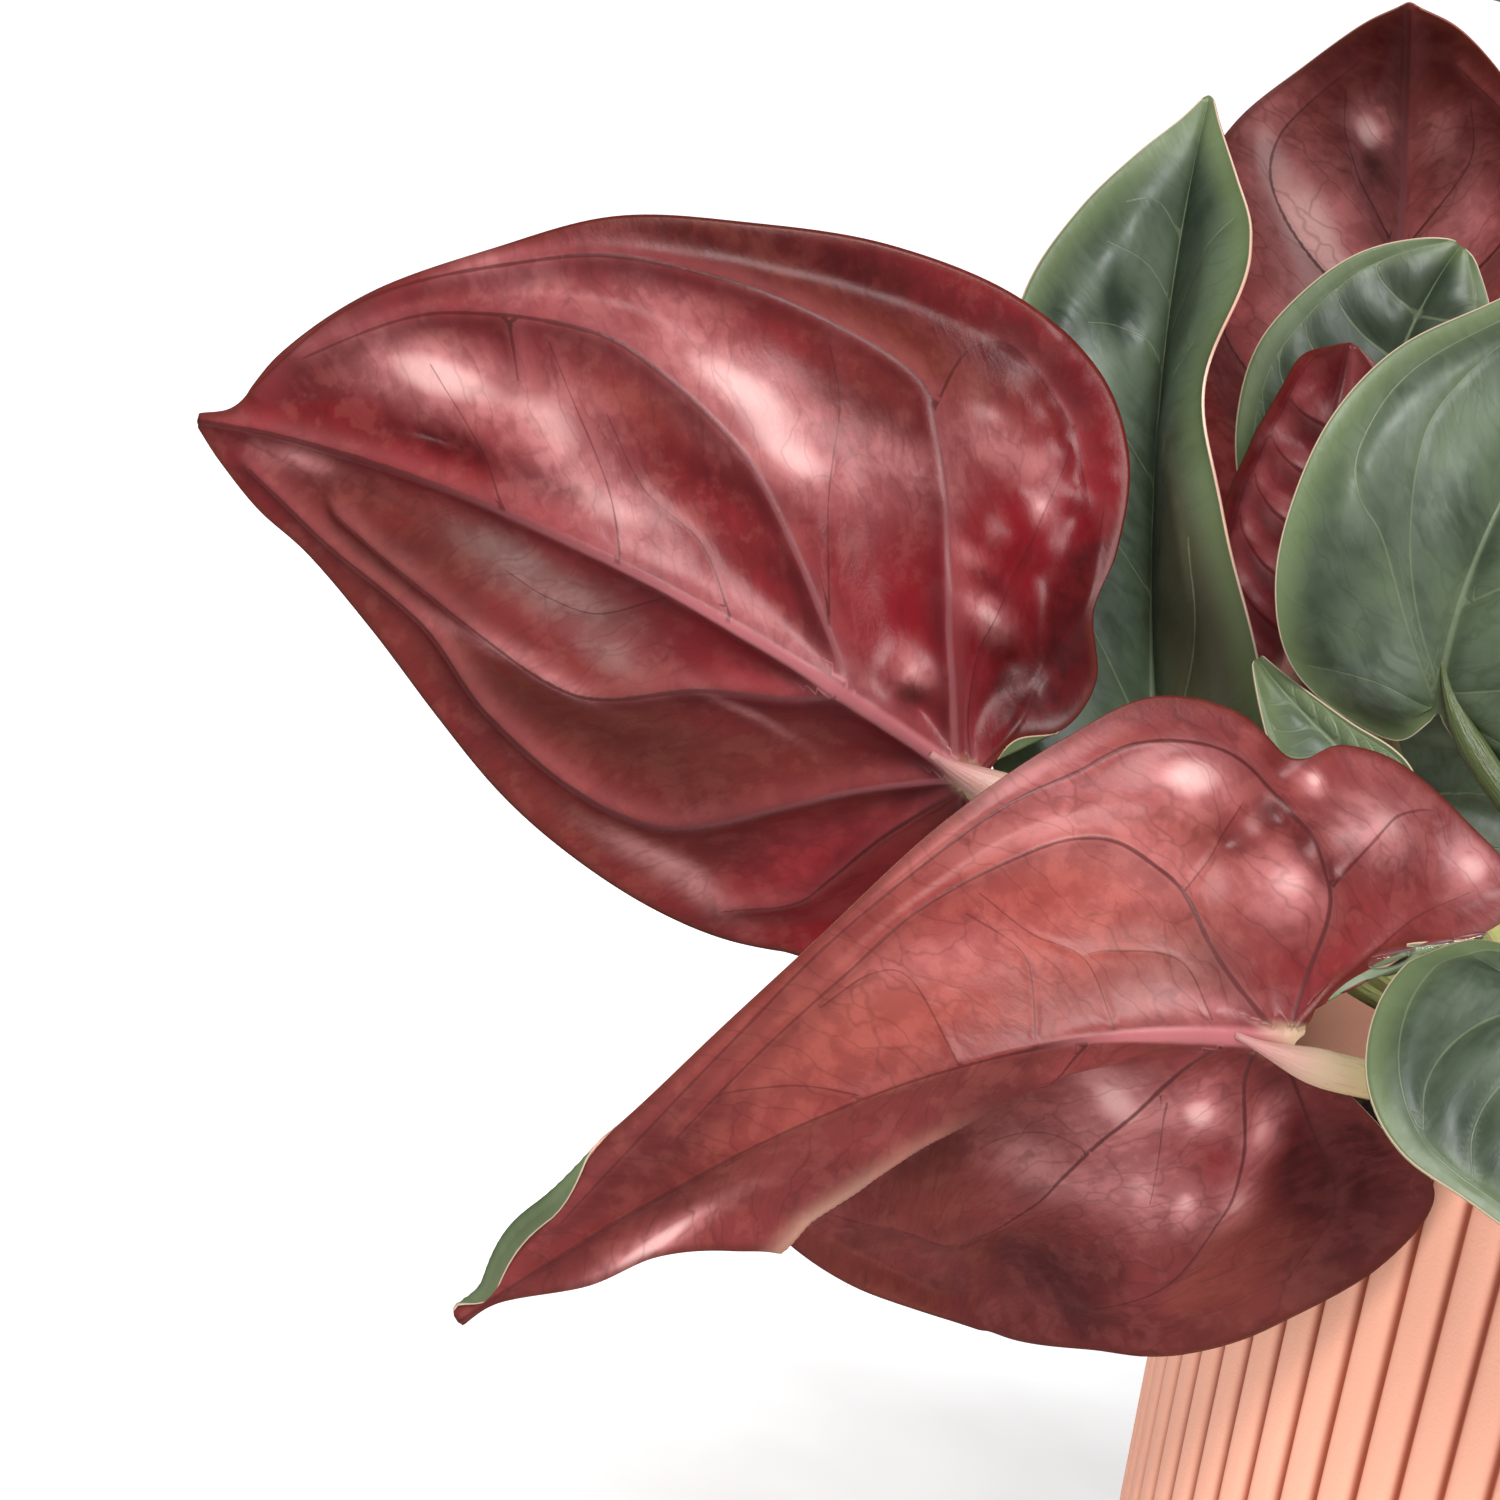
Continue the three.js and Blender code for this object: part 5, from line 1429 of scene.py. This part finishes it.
def new_group(name, inputs, outputs):
    """An empty node group with named sockets, its wiring, its inputs and its output node."""
    tree = bpy.data.node_groups.new(name, "ShaderNodeTree")
    for label, kind, default in inputs:
        made = tree.interface.new_socket(label, in_out="INPUT", socket_type=kind)
        if default is not None:
            made.default_value = default
    for label, kind in outputs:
        tree.interface.new_socket(label, in_out="OUTPUT", socket_type=kind)
    wires = Wiring(tree)
    given = wires.add("NodeGroupInput").outputs
    result = wires.add("NodeGroupOutput").inputs
    return tree, wires, given, result


def vein_group():
    """Main veins from the blade's own attributes, and small veins that run out between them."""
    tree, w, given, result = new_group(
        "Leaf veins",
        [("Waver", "NodeSocketFloat", 0.2), ("Net size", "NodeSocketFloat", 3.6),
         ("Net width", "NodeSocketFloat", 0.11)],
        [("Vein", "NodeSocketFloat"), ("Net", "NodeSocketFloat"),
         ("Painted shade flank", "NodeSocketFloat"), ("Painted light flank", "NodeSocketFloat"),
         ("Streak", "NodeSocketFloat")])
    flat = w.attribute("flat")
    x, y, _ = w.split(flat)
    place = w.add("ShaderNodeCombineXYZ", {"X": x, "Y": y, "Z": 0.0}).outputs["Vector"]
    dx, dy, far = w.split(w.attribute("veins"))
    offset = w.length(w.add("ShaderNodeCombineXYZ", {"X": dx, "Y": dy, "Z": 0.0}).outputs["Vector"])
    wobble = w.product(w.math("SUBTRACT", w.noise(place, 0.35, 2.0), 0.5), given["Waver"])
    distance = w.math("ADD", w.math("MAXIMUM", offset, w.math("SUBTRACT", far, 1.3)), wobble)
    width = w.attribute("vein_width", "Fac")
    stout = w.math("MAXIMUM", w.math("SUBTRACT", width, 0.3), 0.0)
    line = w.math("ADD", 0.10, w.product(stout, 0.72))
    share = w.math("DIVIDE", distance, line)
    w.feed(result["Vein"], w.step(share, 1.25, 0.45))
    # Painted shade and painted light on the two sides of each vein
    dark, pale, _ = w.split(w.attribute("painted_flank_shading"))
    w.feed(result["Painted shade flank"], dark)
    w.feed(result["Painted light flank"], pale)
    outward = w.math("ABSOLUTE", y)
    bend = w.vector("SCALE", w.vector("SUBTRACT", w.noise(place, 0.11, 3.0, "Color"),
                                      (0.5, 0.5, 0.5)))
    bend.node.inputs["Scale"].default_value = 7.0
    along = w.math("SUBTRACT", x, w.product(outward, 0.85))
    fan = w.add("ShaderNodeCombineXYZ", {"X": along, "Y": w.product(y, 0.36), "Z": 0.0})
    fan = w.vector("ADD", fan.outputs["Vector"], bend)
    scale = w.math("DIVIDE", 1.0, given["Net size"])
    coarse = w.cracks(fan, scale)
    fine = w.cracks(w.vector("ADD", fan, (3.7, 1.9, 0.0)), w.product(scale, 2.3))
    thin = w.product(given["Net width"], 0.8)
    fade = w.step(w.noise(place, 0.16, 2.0), 0.36, 0.6)
    net = w.math("MAXIMUM", w.step(coarse, given["Net width"], 0.0),
                 w.product(w.step(fine, thin, 0.0), w.product(fade, 0.55)))
    w.feed(result["Net"], net)
    w.feed(result["Streak"], w.noise(fan, 0.6, 3.0))
    return tree


def grain_group():
    """Fine uneven grain of living tissue, about 0 to 1."""
    tree, w, given, result = new_group(
        "Leaf grain", [("Size", "NodeSocketFloat", 0.4)],
        [("Grain", "NodeSocketFloat"), ("Cloud", "NodeSocketFloat"), ("Mottle", "NodeSocketFloat")])
    where = w.add("ShaderNodeTexCoord").outputs["Object"]
    scale = w.math("DIVIDE", 1 / MM, given["Size"])
    w.feed(result["Grain"], w.noise(where, scale, 3.0))
    w.feed(result["Cloud"], w.noise(where, w.product(scale, 0.035), 3.0))
    w.feed(result["Mottle"], w.noise(where, w.product(scale, 0.13), 5.0, rough=0.62))
    return tree


def new_material(name):
    """A material with its Principled shader, ready to wire."""
    material = bpy.data.materials.new(name)
    material.use_nodes = True
    tree = material.node_tree
    tree.nodes.clear()
    w = Wiring(tree)
    shader = w.add("ShaderNodeBsdfPrincipled")
    output = w.add("ShaderNodeOutputMaterial")
    tree.links.new(shader.outputs["BSDF"], output.inputs["Surface"])
    return material, w, shader.inputs


def underside_material(name, look, groups, net_share, flank, ground, lit):
    """Red underside: wine panels, coral partly painted light, painted highlights and shade, raised veins.
    """
    material, w, skin = new_material(name)
    maroon = tuple(look.maroon)
    veins = w.group(groups["veins"], Net_size=5.2, Net_width=0.045)
    grain = w.group(groups["grain"], Size=0.5)
    a, across, _ = w.split(w.attribute("flat"))
    blush, painted_highlight, painted_shade = w.split(w.attribute("tones"))
    crimson, brown, painted_reflection = w.split(w.attribute("tints"))
    inside, lip, _ = w.split(w.attribute("fold"))
    vein_width = w.attribute("vein_width", "Fac")
    cloud = w.step(grain["Cloud"], 0.36, 0.66)
    mottle = w.step(grain["Mottle"], 0.38, 0.64)
    streak = w.step(veins["Streak"], 0.38, 0.64)
    uneven = w.step(w.blend(veins["Streak"], 0.35, grain["Mottle"], 0.65), 0.38, 0.62)
    base = w.coat(ground, maroon, cloud, 0.45)
    base = w.coat(base, maroon, w.math("SUBTRACT", 1.0, streak), 0.15)
    base = w.coat(base, MOTTLED_PINK, w.step(mottle, 0.45, 1.0), 0.12)
    base = w.coat(base, BROWN_RED, brown, w.vary(uneven, 0.6, 0.85))
    # Lit colour of thin parts: partly the leaf's own warm tone, partly painted light
    base = w.coat(base, lit, blush, w.vary(mottle, 0.6, 1.0))
    base = w.coat(base, DEEP_CRIMSON, crimson, w.vary(mottle, 0.95, 0.75))
    # Painted reflection of the window, grey
    base = w.coat(base, GREY_PAINTED_REFLECTION, painted_reflection, w.vary(uneven, 0.5, 0.75))
    # Painted highlights and sheen, pale where strongest
    base = w.coat(base, PINK_PAINTED_HIGHLIGHT, painted_highlight, w.vary(uneven, 0.6, 1.0), 0.95)
    base = w.coat(base, PALE_PAINTED_HIGHLIGHT, w.step(painted_highlight, 0.6, 1.0), 0.6)
    # Painted shade in hollows and creases
    base = w.coat(base, NEAR_BLACK_PAINTED_SHADE, painted_shade, w.vary(uneven, 1.0, 0.75))
    base = w.coat(base, maroon, veins["Net"], net_share)
    # Painted shade on one side of each vein and painted light on the other
    base = w.coat(base, SHADED_FLANK, veins["Painted shade flank"], flank)
    base = w.coat(base, LIT_FLANK, veins["Painted light flank"], flank * 0.3)
    vein_tone = w.mix(w.step(vein_width, 0.45, 1.1), maroon, tuple(look.mauve))
    base = w.coat(base, vein_tone, veins["Vein"], w.step(vein_width, 0.25, 0.6, 0.45, 0.85))
    base = w.coat(base, DARK_MARGIN, w.step(w.attribute("edge", "Fac"), 1.3, 0.25, 0.0, 0.6))
    # Painted highlight on a pleat's front edge and painted shade on its fold wall
    base = w.coat(base, FOLD_EDGE_PAINTED_HIGHLIGHT, lip, 0.6)
    base = w.coat(base, maroon, inside, 0.9)
    by_midrib = w.step(w.math("ABSOLUTE", across), 2.6, 1.0)
    base = w.coat(base, STRAW_ROOT, w.step(a, 6.0, -2.0), by_midrib, 0.85)
    w.feed(skin["Base Color"], base)
    w.feed(skin["Roughness"], w.step(grain["Mottle"], 0.3, 0.75, 0.32, 0.42))
    height = w.math("ADD", w.product(grain["Grain"], 0.3), veins["Streak"])
    w.feed(skin["Normal"], w.bump(height, 0.09, 0.0007))
    skin["Specular IOR Level"].default_value = 0.3
    skin["Specular Tint"].default_value = (1.0, 0.80, 0.78, 1)
    return material


def upper_material(look, groups):
    """Green upper face: satin grey green, paler by the veins, yellow-green margin, painted light and
    shade.
    """
    material, w, skin = new_material("Leaf upper face")
    veins = w.group(groups["veins"], Net_size=4.2, Net_width=0.05)
    grain = w.group(groups["grain"], Size=0.5)
    blush, painted_highlight, painted_shade = w.split(w.attribute("tones"))
    edge = w.attribute("edge", "Fac")
    cloud = w.step(grain["Cloud"], 0.35, 0.68)
    uneven = w.step(w.blend(veins["Streak"], 0.6, grain["Mottle"], 0.4), 0.36, 0.62)
    base = w.mix(cloud, tuple(look.leaf_dark), tuple(look.leaf_light))
    base = w.coat(base, GREY_GREEN, uneven, 0.35)
    base = w.coat(base, NET_GREEN, veins["Net"], 0.25)
    # Painted shade on one side of each vein and painted light on the other
    base = w.coat(base, SHADED_GREEN, veins["Painted shade flank"], 0.35)
    base = w.coat(base, LIT_GREEN, veins["Painted light flank"], 0.2)
    base = w.coat(base, OLIVE_BLUSH, blush, 0.65)
    # Painted highlights
    base = w.coat(base, SILVER_PAINTED_HIGHLIGHT, painted_highlight, w.vary(uneven, 0.4, 0.75))
    # Painted shade
    base = w.coat(base, DEEP_GREEN_PAINTED_SHADE, painted_shade, 0.8)
    base = w.coat(base, YELLOW_MARGIN, w.step(edge, 4.2, 0.6, 0.0, 0.55))
    base = w.coat(base, VEIN_GREEN, veins["Vein"], 0.4)
    # Painted shade on a pleat's fold wall
    base = w.coat(base, tuple(look.maroon), w.split(w.attribute("fold"))[0])
    base = w.coat(base, tuple(look.rim), w.step(edge, 0.2, 0.06, 0.0, 0.6))
    w.feed(skin["Base Color"], base)
    w.feed(skin["Roughness"], w.step(grain["Mottle"], 0.3, 0.75, 0.38, 0.54))
    height = w.math("SUBTRACT", w.product(veins["Streak"], 0.9), veins["Vein"])
    w.feed(skin["Normal"], w.bump(height, 0.3, 0.0003))
    skin["Specular IOR Level"].default_value = 0.5
    return material


def rim_material(name, groups, tone, other):
    """Narrow edge between the two faces of a blade."""
    material, w, skin = new_material(name)
    grain = w.group(groups["grain"], Size=0.5)
    w.feed(skin["Base Color"], w.mix(w.step(grain["Cloud"], 0.35, 0.65), tone, other))
    w.feed(skin["Normal"], w.bump(grain["Grain"], 0.3, 0.0002))
    skin["Roughness"].default_value = 0.45
    return material


def stalk_material(look, groups):
    """Stalks: yellow green at the foot, flushed pink towards the blade, with long fine streaks."""
    material, w, skin = new_material("Stalk skin")
    grain = w.group(groups["grain"], Size=0.6)
    cos_turn, sin_turn, _ = w.split(w.attribute("spoke"))
    way = w.attribute("way", "Fac")
    around = w.add("ShaderNodeCombineXYZ", {"X": cos_turn, "Y": sin_turn, "Z": w.product(way, 2.4)})
    streak = w.noise(around.outputs["Vector"], 5.0, 3.0)
    warm = w.attribute("warm", "Fac")
    base = w.mix(w.step(warm, 0.25, 0.0), tuple(look.green), OLIVE_STALK)
    flush = w.product(w.step(way, 0.25, 0.85), w.step(streak, 0.35, 0.62, 0.55, 1.0))
    base = w.coat(base, tuple(look.blush), flush, warm)
    base = w.coat(base, RED_STRIPE, w.step(streak, 0.56, 0.70), w.step(warm, 0.0, 0.6, 0.1, 0.45))
    base = w.coat(base, SHEATH_GREEN, w.step(way, 0.34, 0.18, 0.0, 0.4))
    base = w.coat(base, STRAW_STALK, w.step(way, 0.6, 0.88), w.step(warm, 0.0, 0.4, 0.0, 0.75))
    base = w.coat(base, MAUVE_STALK, w.step(way, 0.78, 0.95), w.step(warm, 0.0, 0.4, 0.0, 0.85))
    w.feed(skin["Base Color"], base)
    height = w.blend(streak, 1.0, grain["Grain"], 0.4)
    w.feed(skin["Normal"], w.bump(height, 0.45, 0.0005))
    w.feed(skin["Roughness"], w.step(grain["Cloud"], 0.3, 0.75, 0.36, 0.48))
    return material


def pot_material(look):
    """Matt salmon plastic, with painted shade, darker and more orange, in the grooves."""
    material, w, skin = new_material("Salmon ribbed plastic")
    where = w.add("ShaderNodeTexCoord").outputs["Object"]
    painted_groove_shade = w.attribute("painted_groove_shade", "Fac")
    cloud = w.noise(where, 38.0, 3.0)
    grain = w.noise(where, 2600.0, 2.0)
    base = w.mix(w.step(cloud, 0.35, 0.65, 0.0, 0.25), tuple(look.crest), (0.82, 0.37, 0.245, 1))
    # Painted shade in the grooves
    base = w.mix(w.step(painted_groove_shade, 0.15, 0.85), base, tuple(look.painted_groove_shade))
    w.feed(skin["Base Color"], base)
    w.feed(skin["Roughness"], w.step(grain, 0.3, 0.7, 0.56, 0.68))
    w.feed(skin["Normal"], w.bump(grain, 0.25, 0.0003))
    return material


def water_material():
    """Clear water."""
    material, w, skin = new_material("Water")
    where = w.add("ShaderNodeTexCoord").outputs["Object"]
    w.feed(skin["Roughness"], w.step(w.noise(where, 900.0, 2.0), 0.3, 0.7, 0.01, 0.04))
    skin["Base Color"].default_value = (0.97, 0.99, 0.98, 1)
    skin["Transmission Weight"].default_value = 1.0
    skin["IOR"].default_value = 1.333
    return material


def soil_material(look):
    """Damp dark potting mix with a few paler fibres."""
    material, w, skin = new_material("Potting mix")
    where = w.add("ShaderNodeTexCoord").outputs["Object"]
    lumps = w.noise(where, 420.0, 4.0)
    bits = w.noise(where, 1500.0, 3.0)
    base = w.mix(w.step(lumps, 0.42, 0.66), tuple(look.dark), tuple(look.light))
    base = w.mix(w.step(bits, 0.66, 0.74, 0.0, 0.6), base, (0.22, 0.15, 0.09, 1))
    w.feed(skin["Base Color"], base)
    w.feed(skin["Roughness"], w.step(bits, 0.3, 0.7, 0.75, 0.95))
    w.feed(skin["Normal"], w.bump(w.math("ADD", lumps, bits), 0.8, 0.0012))
    return material


def floor_material(look):
    """Matt pale floor."""
    material, w, skin = new_material("Pale floor")
    where = w.add("ShaderNodeTexCoord").outputs["Object"]
    fine = w.noise(where, 60.0, 2.0)
    base = w.mix(w.step(fine, 0.3, 0.7), tuple(look.floor), (0.90, 0.90, 0.90, 1))
    w.feed(skin["Base Color"], base)
    w.feed(skin["Emission Color"], base)
    skin["Emission Strength"].default_value = 0.6
    skin["Roughness"].default_value = 0.9
    skin["Specular IOR Level"].default_value = 0.1
    return material


# Studio

PLANT_MIDDLE = (-0.06, -0.02, 0.15)
SUN_FROM = (-0.25, -0.85, 0.85)
SUN_ANGLE = math.radians(26)
WINDOW_PLACE = (0.22, -1.13, 1.32)
WINDOW_SIZE = 0.8
WINDOW_COLOUR = (0.97, 0.98, 1)
CAMERA_PLACE = Vector((-133.3, -627.5, 244.8)) * MM
CAMERA_DOWN = math.radians(10)
CAMERA_ROLL = math.radians(15)
PHOTO_SIZE = 1500
FOCAL_PIXELS = 5248


def camera_axes():
    """Right, up and forward of the view, which looks a little down and is rolled."""
    forward = Vector((0, math.cos(CAMERA_DOWN), -math.sin(CAMERA_DOWN)))
    level, rise = Vector((1, 0, 0)), Vector((0, math.sin(CAMERA_DOWN), math.cos(CAMERA_DOWN)))
    right = math.cos(CAMERA_ROLL) * level + math.sin(CAMERA_ROLL) * rise
    up = -math.sin(CAMERA_ROLL) * level + math.cos(CAMERA_ROLL) * rise
    return right, up, forward


def make_camera():
    """The camera, at the photograph's viewing angle."""
    data = bpy.data.cameras.new("Studio camera")
    data.sensor_fit = "HORIZONTAL"
    data.sensor_width = 36
    data.lens = data.sensor_width * FOCAL_PIXELS / PHOTO_SIZE
    data.clip_start, data.clip_end = 0.05, 500
    camera = bpy.data.objects.new("Studio camera", data)
    right, up, forward = camera_axes()
    turn = Matrix((right, up, -forward)).transposed().to_4x4()
    camera.matrix_world = Matrix.Translation(CAMERA_PLACE) @ turn
    bpy.context.scene.collection.objects.link(camera)
    bpy.context.scene.camera = camera


def make_light(name, place, target, size, power, colour):
    """A soft square light that looks at a target."""
    data = bpy.data.lights.new(name, "AREA")
    data.shape = "SQUARE"
    data.size = size
    data.energy = power
    data.color = colour
    lamp = bpy.data.objects.new(name, data)
    aim = (Vector(target) - Vector(place)).to_track_quat("-Z", "Y")
    lamp.matrix_world = Matrix.Translation(place) @ aim.to_matrix().to_4x4()
    bpy.context.scene.collection.objects.link(lamp)


def make_sun(direction, strength):
    """Broad soft light that lights the floor evenly."""
    data = bpy.data.lights.new("Key light", "SUN")
    data.energy = strength
    data.angle = SUN_ANGLE
    lamp = bpy.data.objects.new("Key light", data)
    lamp.visible_glossy = False
    lamp.matrix_world = Vector(direction).to_track_quat("Z", "Y").to_matrix().to_4x4()
    bpy.context.scene.collection.objects.link(lamp)


def make_floor(look):
    """A wide pale floor just under the pot's foot."""
    bm = bmesh.new()
    bmesh.ops.create_grid(bm, x_segments=8, y_segments=8, size=150.0)
    bmesh.ops.translate(bm, vec=(0, 0, -0.00005), verts=bm.verts)
    plane = piece_from(bm, "studio_floor", floor_material(look))
    plane.visible_glossy = False
    bpy.context.scene.collection.objects.link(plane)


def make_sky(look):
    """Even white light from all round."""
    world = bpy.data.worlds.new("White studio")
    world.use_nodes = True
    back = world.node_tree.nodes["Background"].inputs
    back["Color"].default_value = (1.0, 1.0, 1.0, 1)
    back["Strength"].default_value = look.sky
    bpy.context.scene.world = world


# Operators

def shared_groups():
    """The effects that several materials use."""
    made = {}
    for key, name, build in (("veins", "Leaf veins", vein_group), ("grain", "Leaf grain", grain_group)):
        made[key] = bpy.data.node_groups.get(name) or build()
    return made


class SYNGONIUM_OT_pot(Operator):
    """Make the ribbed pot"""

    bl_idname = "syngonium.pot"
    bl_label = "Ribbed pot"

    def execute(self, context):
        look = context.scene.syngonium_pot
        make_pot(look, pot_material(look))
        return {"FINISHED"}


class SYNGONIUM_OT_soil(Operator):
    """Make the potting mix and its crumbs"""

    bl_idname = "syngonium.soil"
    bl_label = "Potting mix"

    def execute(self, context):
        look = context.scene.syngonium_soil
        make_soil(look, context.scene.syngonium_pot, soil_material(look))
        return {"FINISHED"}


class SYNGONIUM_OT_shoots(Operator):
    """Make the stems with their leaf stalks"""

    bl_idname = "syngonium.shoots"
    bl_label = "Stems and stalks"

    def execute(self, context):
        look = context.scene.syngonium_shoots
        material = stalk_material(look, shared_groups())
        for name in SHOOTS:
            make_shoot(name, look, material)
        return {"FINISHED"}


class SYNGONIUM_OT_blades(Operator):
    """Make every leaf blade"""

    bl_idname = "syngonium.blades"
    bl_label = "Leaf blades"

    def execute(self, context):
        look = context.scene.syngonium_blades
        groups = shared_groups()
        unders = {
            "wine": underside_material("Wine underside", look, groups, 0.2, 0.6, tuple(look.wine),
                                       (0.27, 0.022, 0.028, 1)),
            "coral": underside_material("Coral underside", look, groups, 0.26, 0.2,
                                        (0.165, 0.024, 0.024, 1), tuple(look.coral)),
            "maroon": underside_material("Maroon underside", look, groups, 0.3, 0.25,
                                         (0.15, 0.020, 0.020, 1), (0.36, 0.085, 0.080, 1)),
        }
        upper = upper_material(look, groups)
        rims = {
            "cream": rim_material("Cream rim", groups, tuple(look.rim), (0.55, 0.30, 0.22, 1)),
            "green": rim_material("Green rim", groups, (0.20, 0.23, 0.12, 1), (0.30, 0.27, 0.15, 1)),
            "wine": rim_material("Wine rim", groups, (0.20, 0.05, 0.04, 1), (0.32, 0.13, 0.09, 1)),
        }
        for number, leaf in enumerate(BLADES):
            under, rim = FINISHES.get(leaf["name"], ("wine", "green"))
            make_blade(leaf, number, look, (unders[under], upper, rims[rim]))
        return {"FINISHED"}


class SYNGONIUM_OT_drops(Operator):
    """Hang and sprinkle the water drops on the finished blades"""

    bl_idname = "syngonium.drops"
    bl_label = "Water drops"

    def execute(self, context):
        make_drops(context.scene.syngonium_drops, water_material())
        return {"FINISHED"}


class SYNGONIUM_OT_stage(Operator):
    """Set up the floor, the lights and the camera"""

    bl_idname = "syngonium.stage"
    bl_label = "Studio"

    def execute(self, context):
        look = context.scene.syngonium_stage
        context.scene.view_settings.view_transform = "Standard"
        make_floor(look)
        make_sky(look)
        make_sun(SUN_FROM, look.key)
        make_light("Window", WINDOW_PLACE, PLANT_MIDDLE, WINDOW_SIZE, look.window_power, WINDOW_COLOUR)
        make_camera()
        return {"FINISHED"}


class SYNGONIUM_PT_panel(Panel):
    """Lists the steps that build the plant"""

    bl_idname = "SYNGONIUM_PT_panel"
    bl_label = "Potted syngonium"
    bl_space_type = "VIEW_3D"
    bl_region_type = "UI"
    bl_category = "Syngonium"

    def draw(self, context):
        for sizes, _, step in STEPS:
            box = self.layout.box()
            look = getattr(context.scene, sizes)
            for key in look.__annotations__:
                box.prop(look, key)
            box.operator(step.bl_idname)


STEPS = (
    ("syngonium_pot", SyngoniumPot, SYNGONIUM_OT_pot),
    ("syngonium_soil", SyngoniumSoil, SYNGONIUM_OT_soil),
    ("syngonium_shoots", SyngoniumShoots, SYNGONIUM_OT_shoots),
    ("syngonium_blades", SyngoniumBlades, SYNGONIUM_OT_blades),
    ("syngonium_drops", SyngoniumDrops, SYNGONIUM_OT_drops),
    ("syngonium_stage", SyngoniumStage, SYNGONIUM_OT_stage),
)
CLASSES = (*(kind for row in STEPS for kind in row[1:]), SYNGONIUM_PT_panel)


def register():
    """Adds the settings, the steps and the panel."""
    for kind in CLASSES:
        bpy.utils.register_class(kind)
    for name, look, _ in STEPS:
        setattr(bpy.types.Scene, name, PointerProperty(type=look))


def unregister():
    """Takes them away again."""
    for name, _, _ in STEPS:
        delattr(bpy.types.Scene, name)
    for kind in reversed(CLASSES):
        bpy.utils.unregister_class(kind)


def main():
    """Builds the plant step by step."""
    register()
    bpy.ops.syngonium.pot()
    bpy.ops.syngonium.soil()
    bpy.ops.syngonium.shoots()
    bpy.ops.syngonium.blades()
    bpy.ops.syngonium.drops()
    bpy.ops.syngonium.stage()
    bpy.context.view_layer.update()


if __name__ == "__main__":
    main()
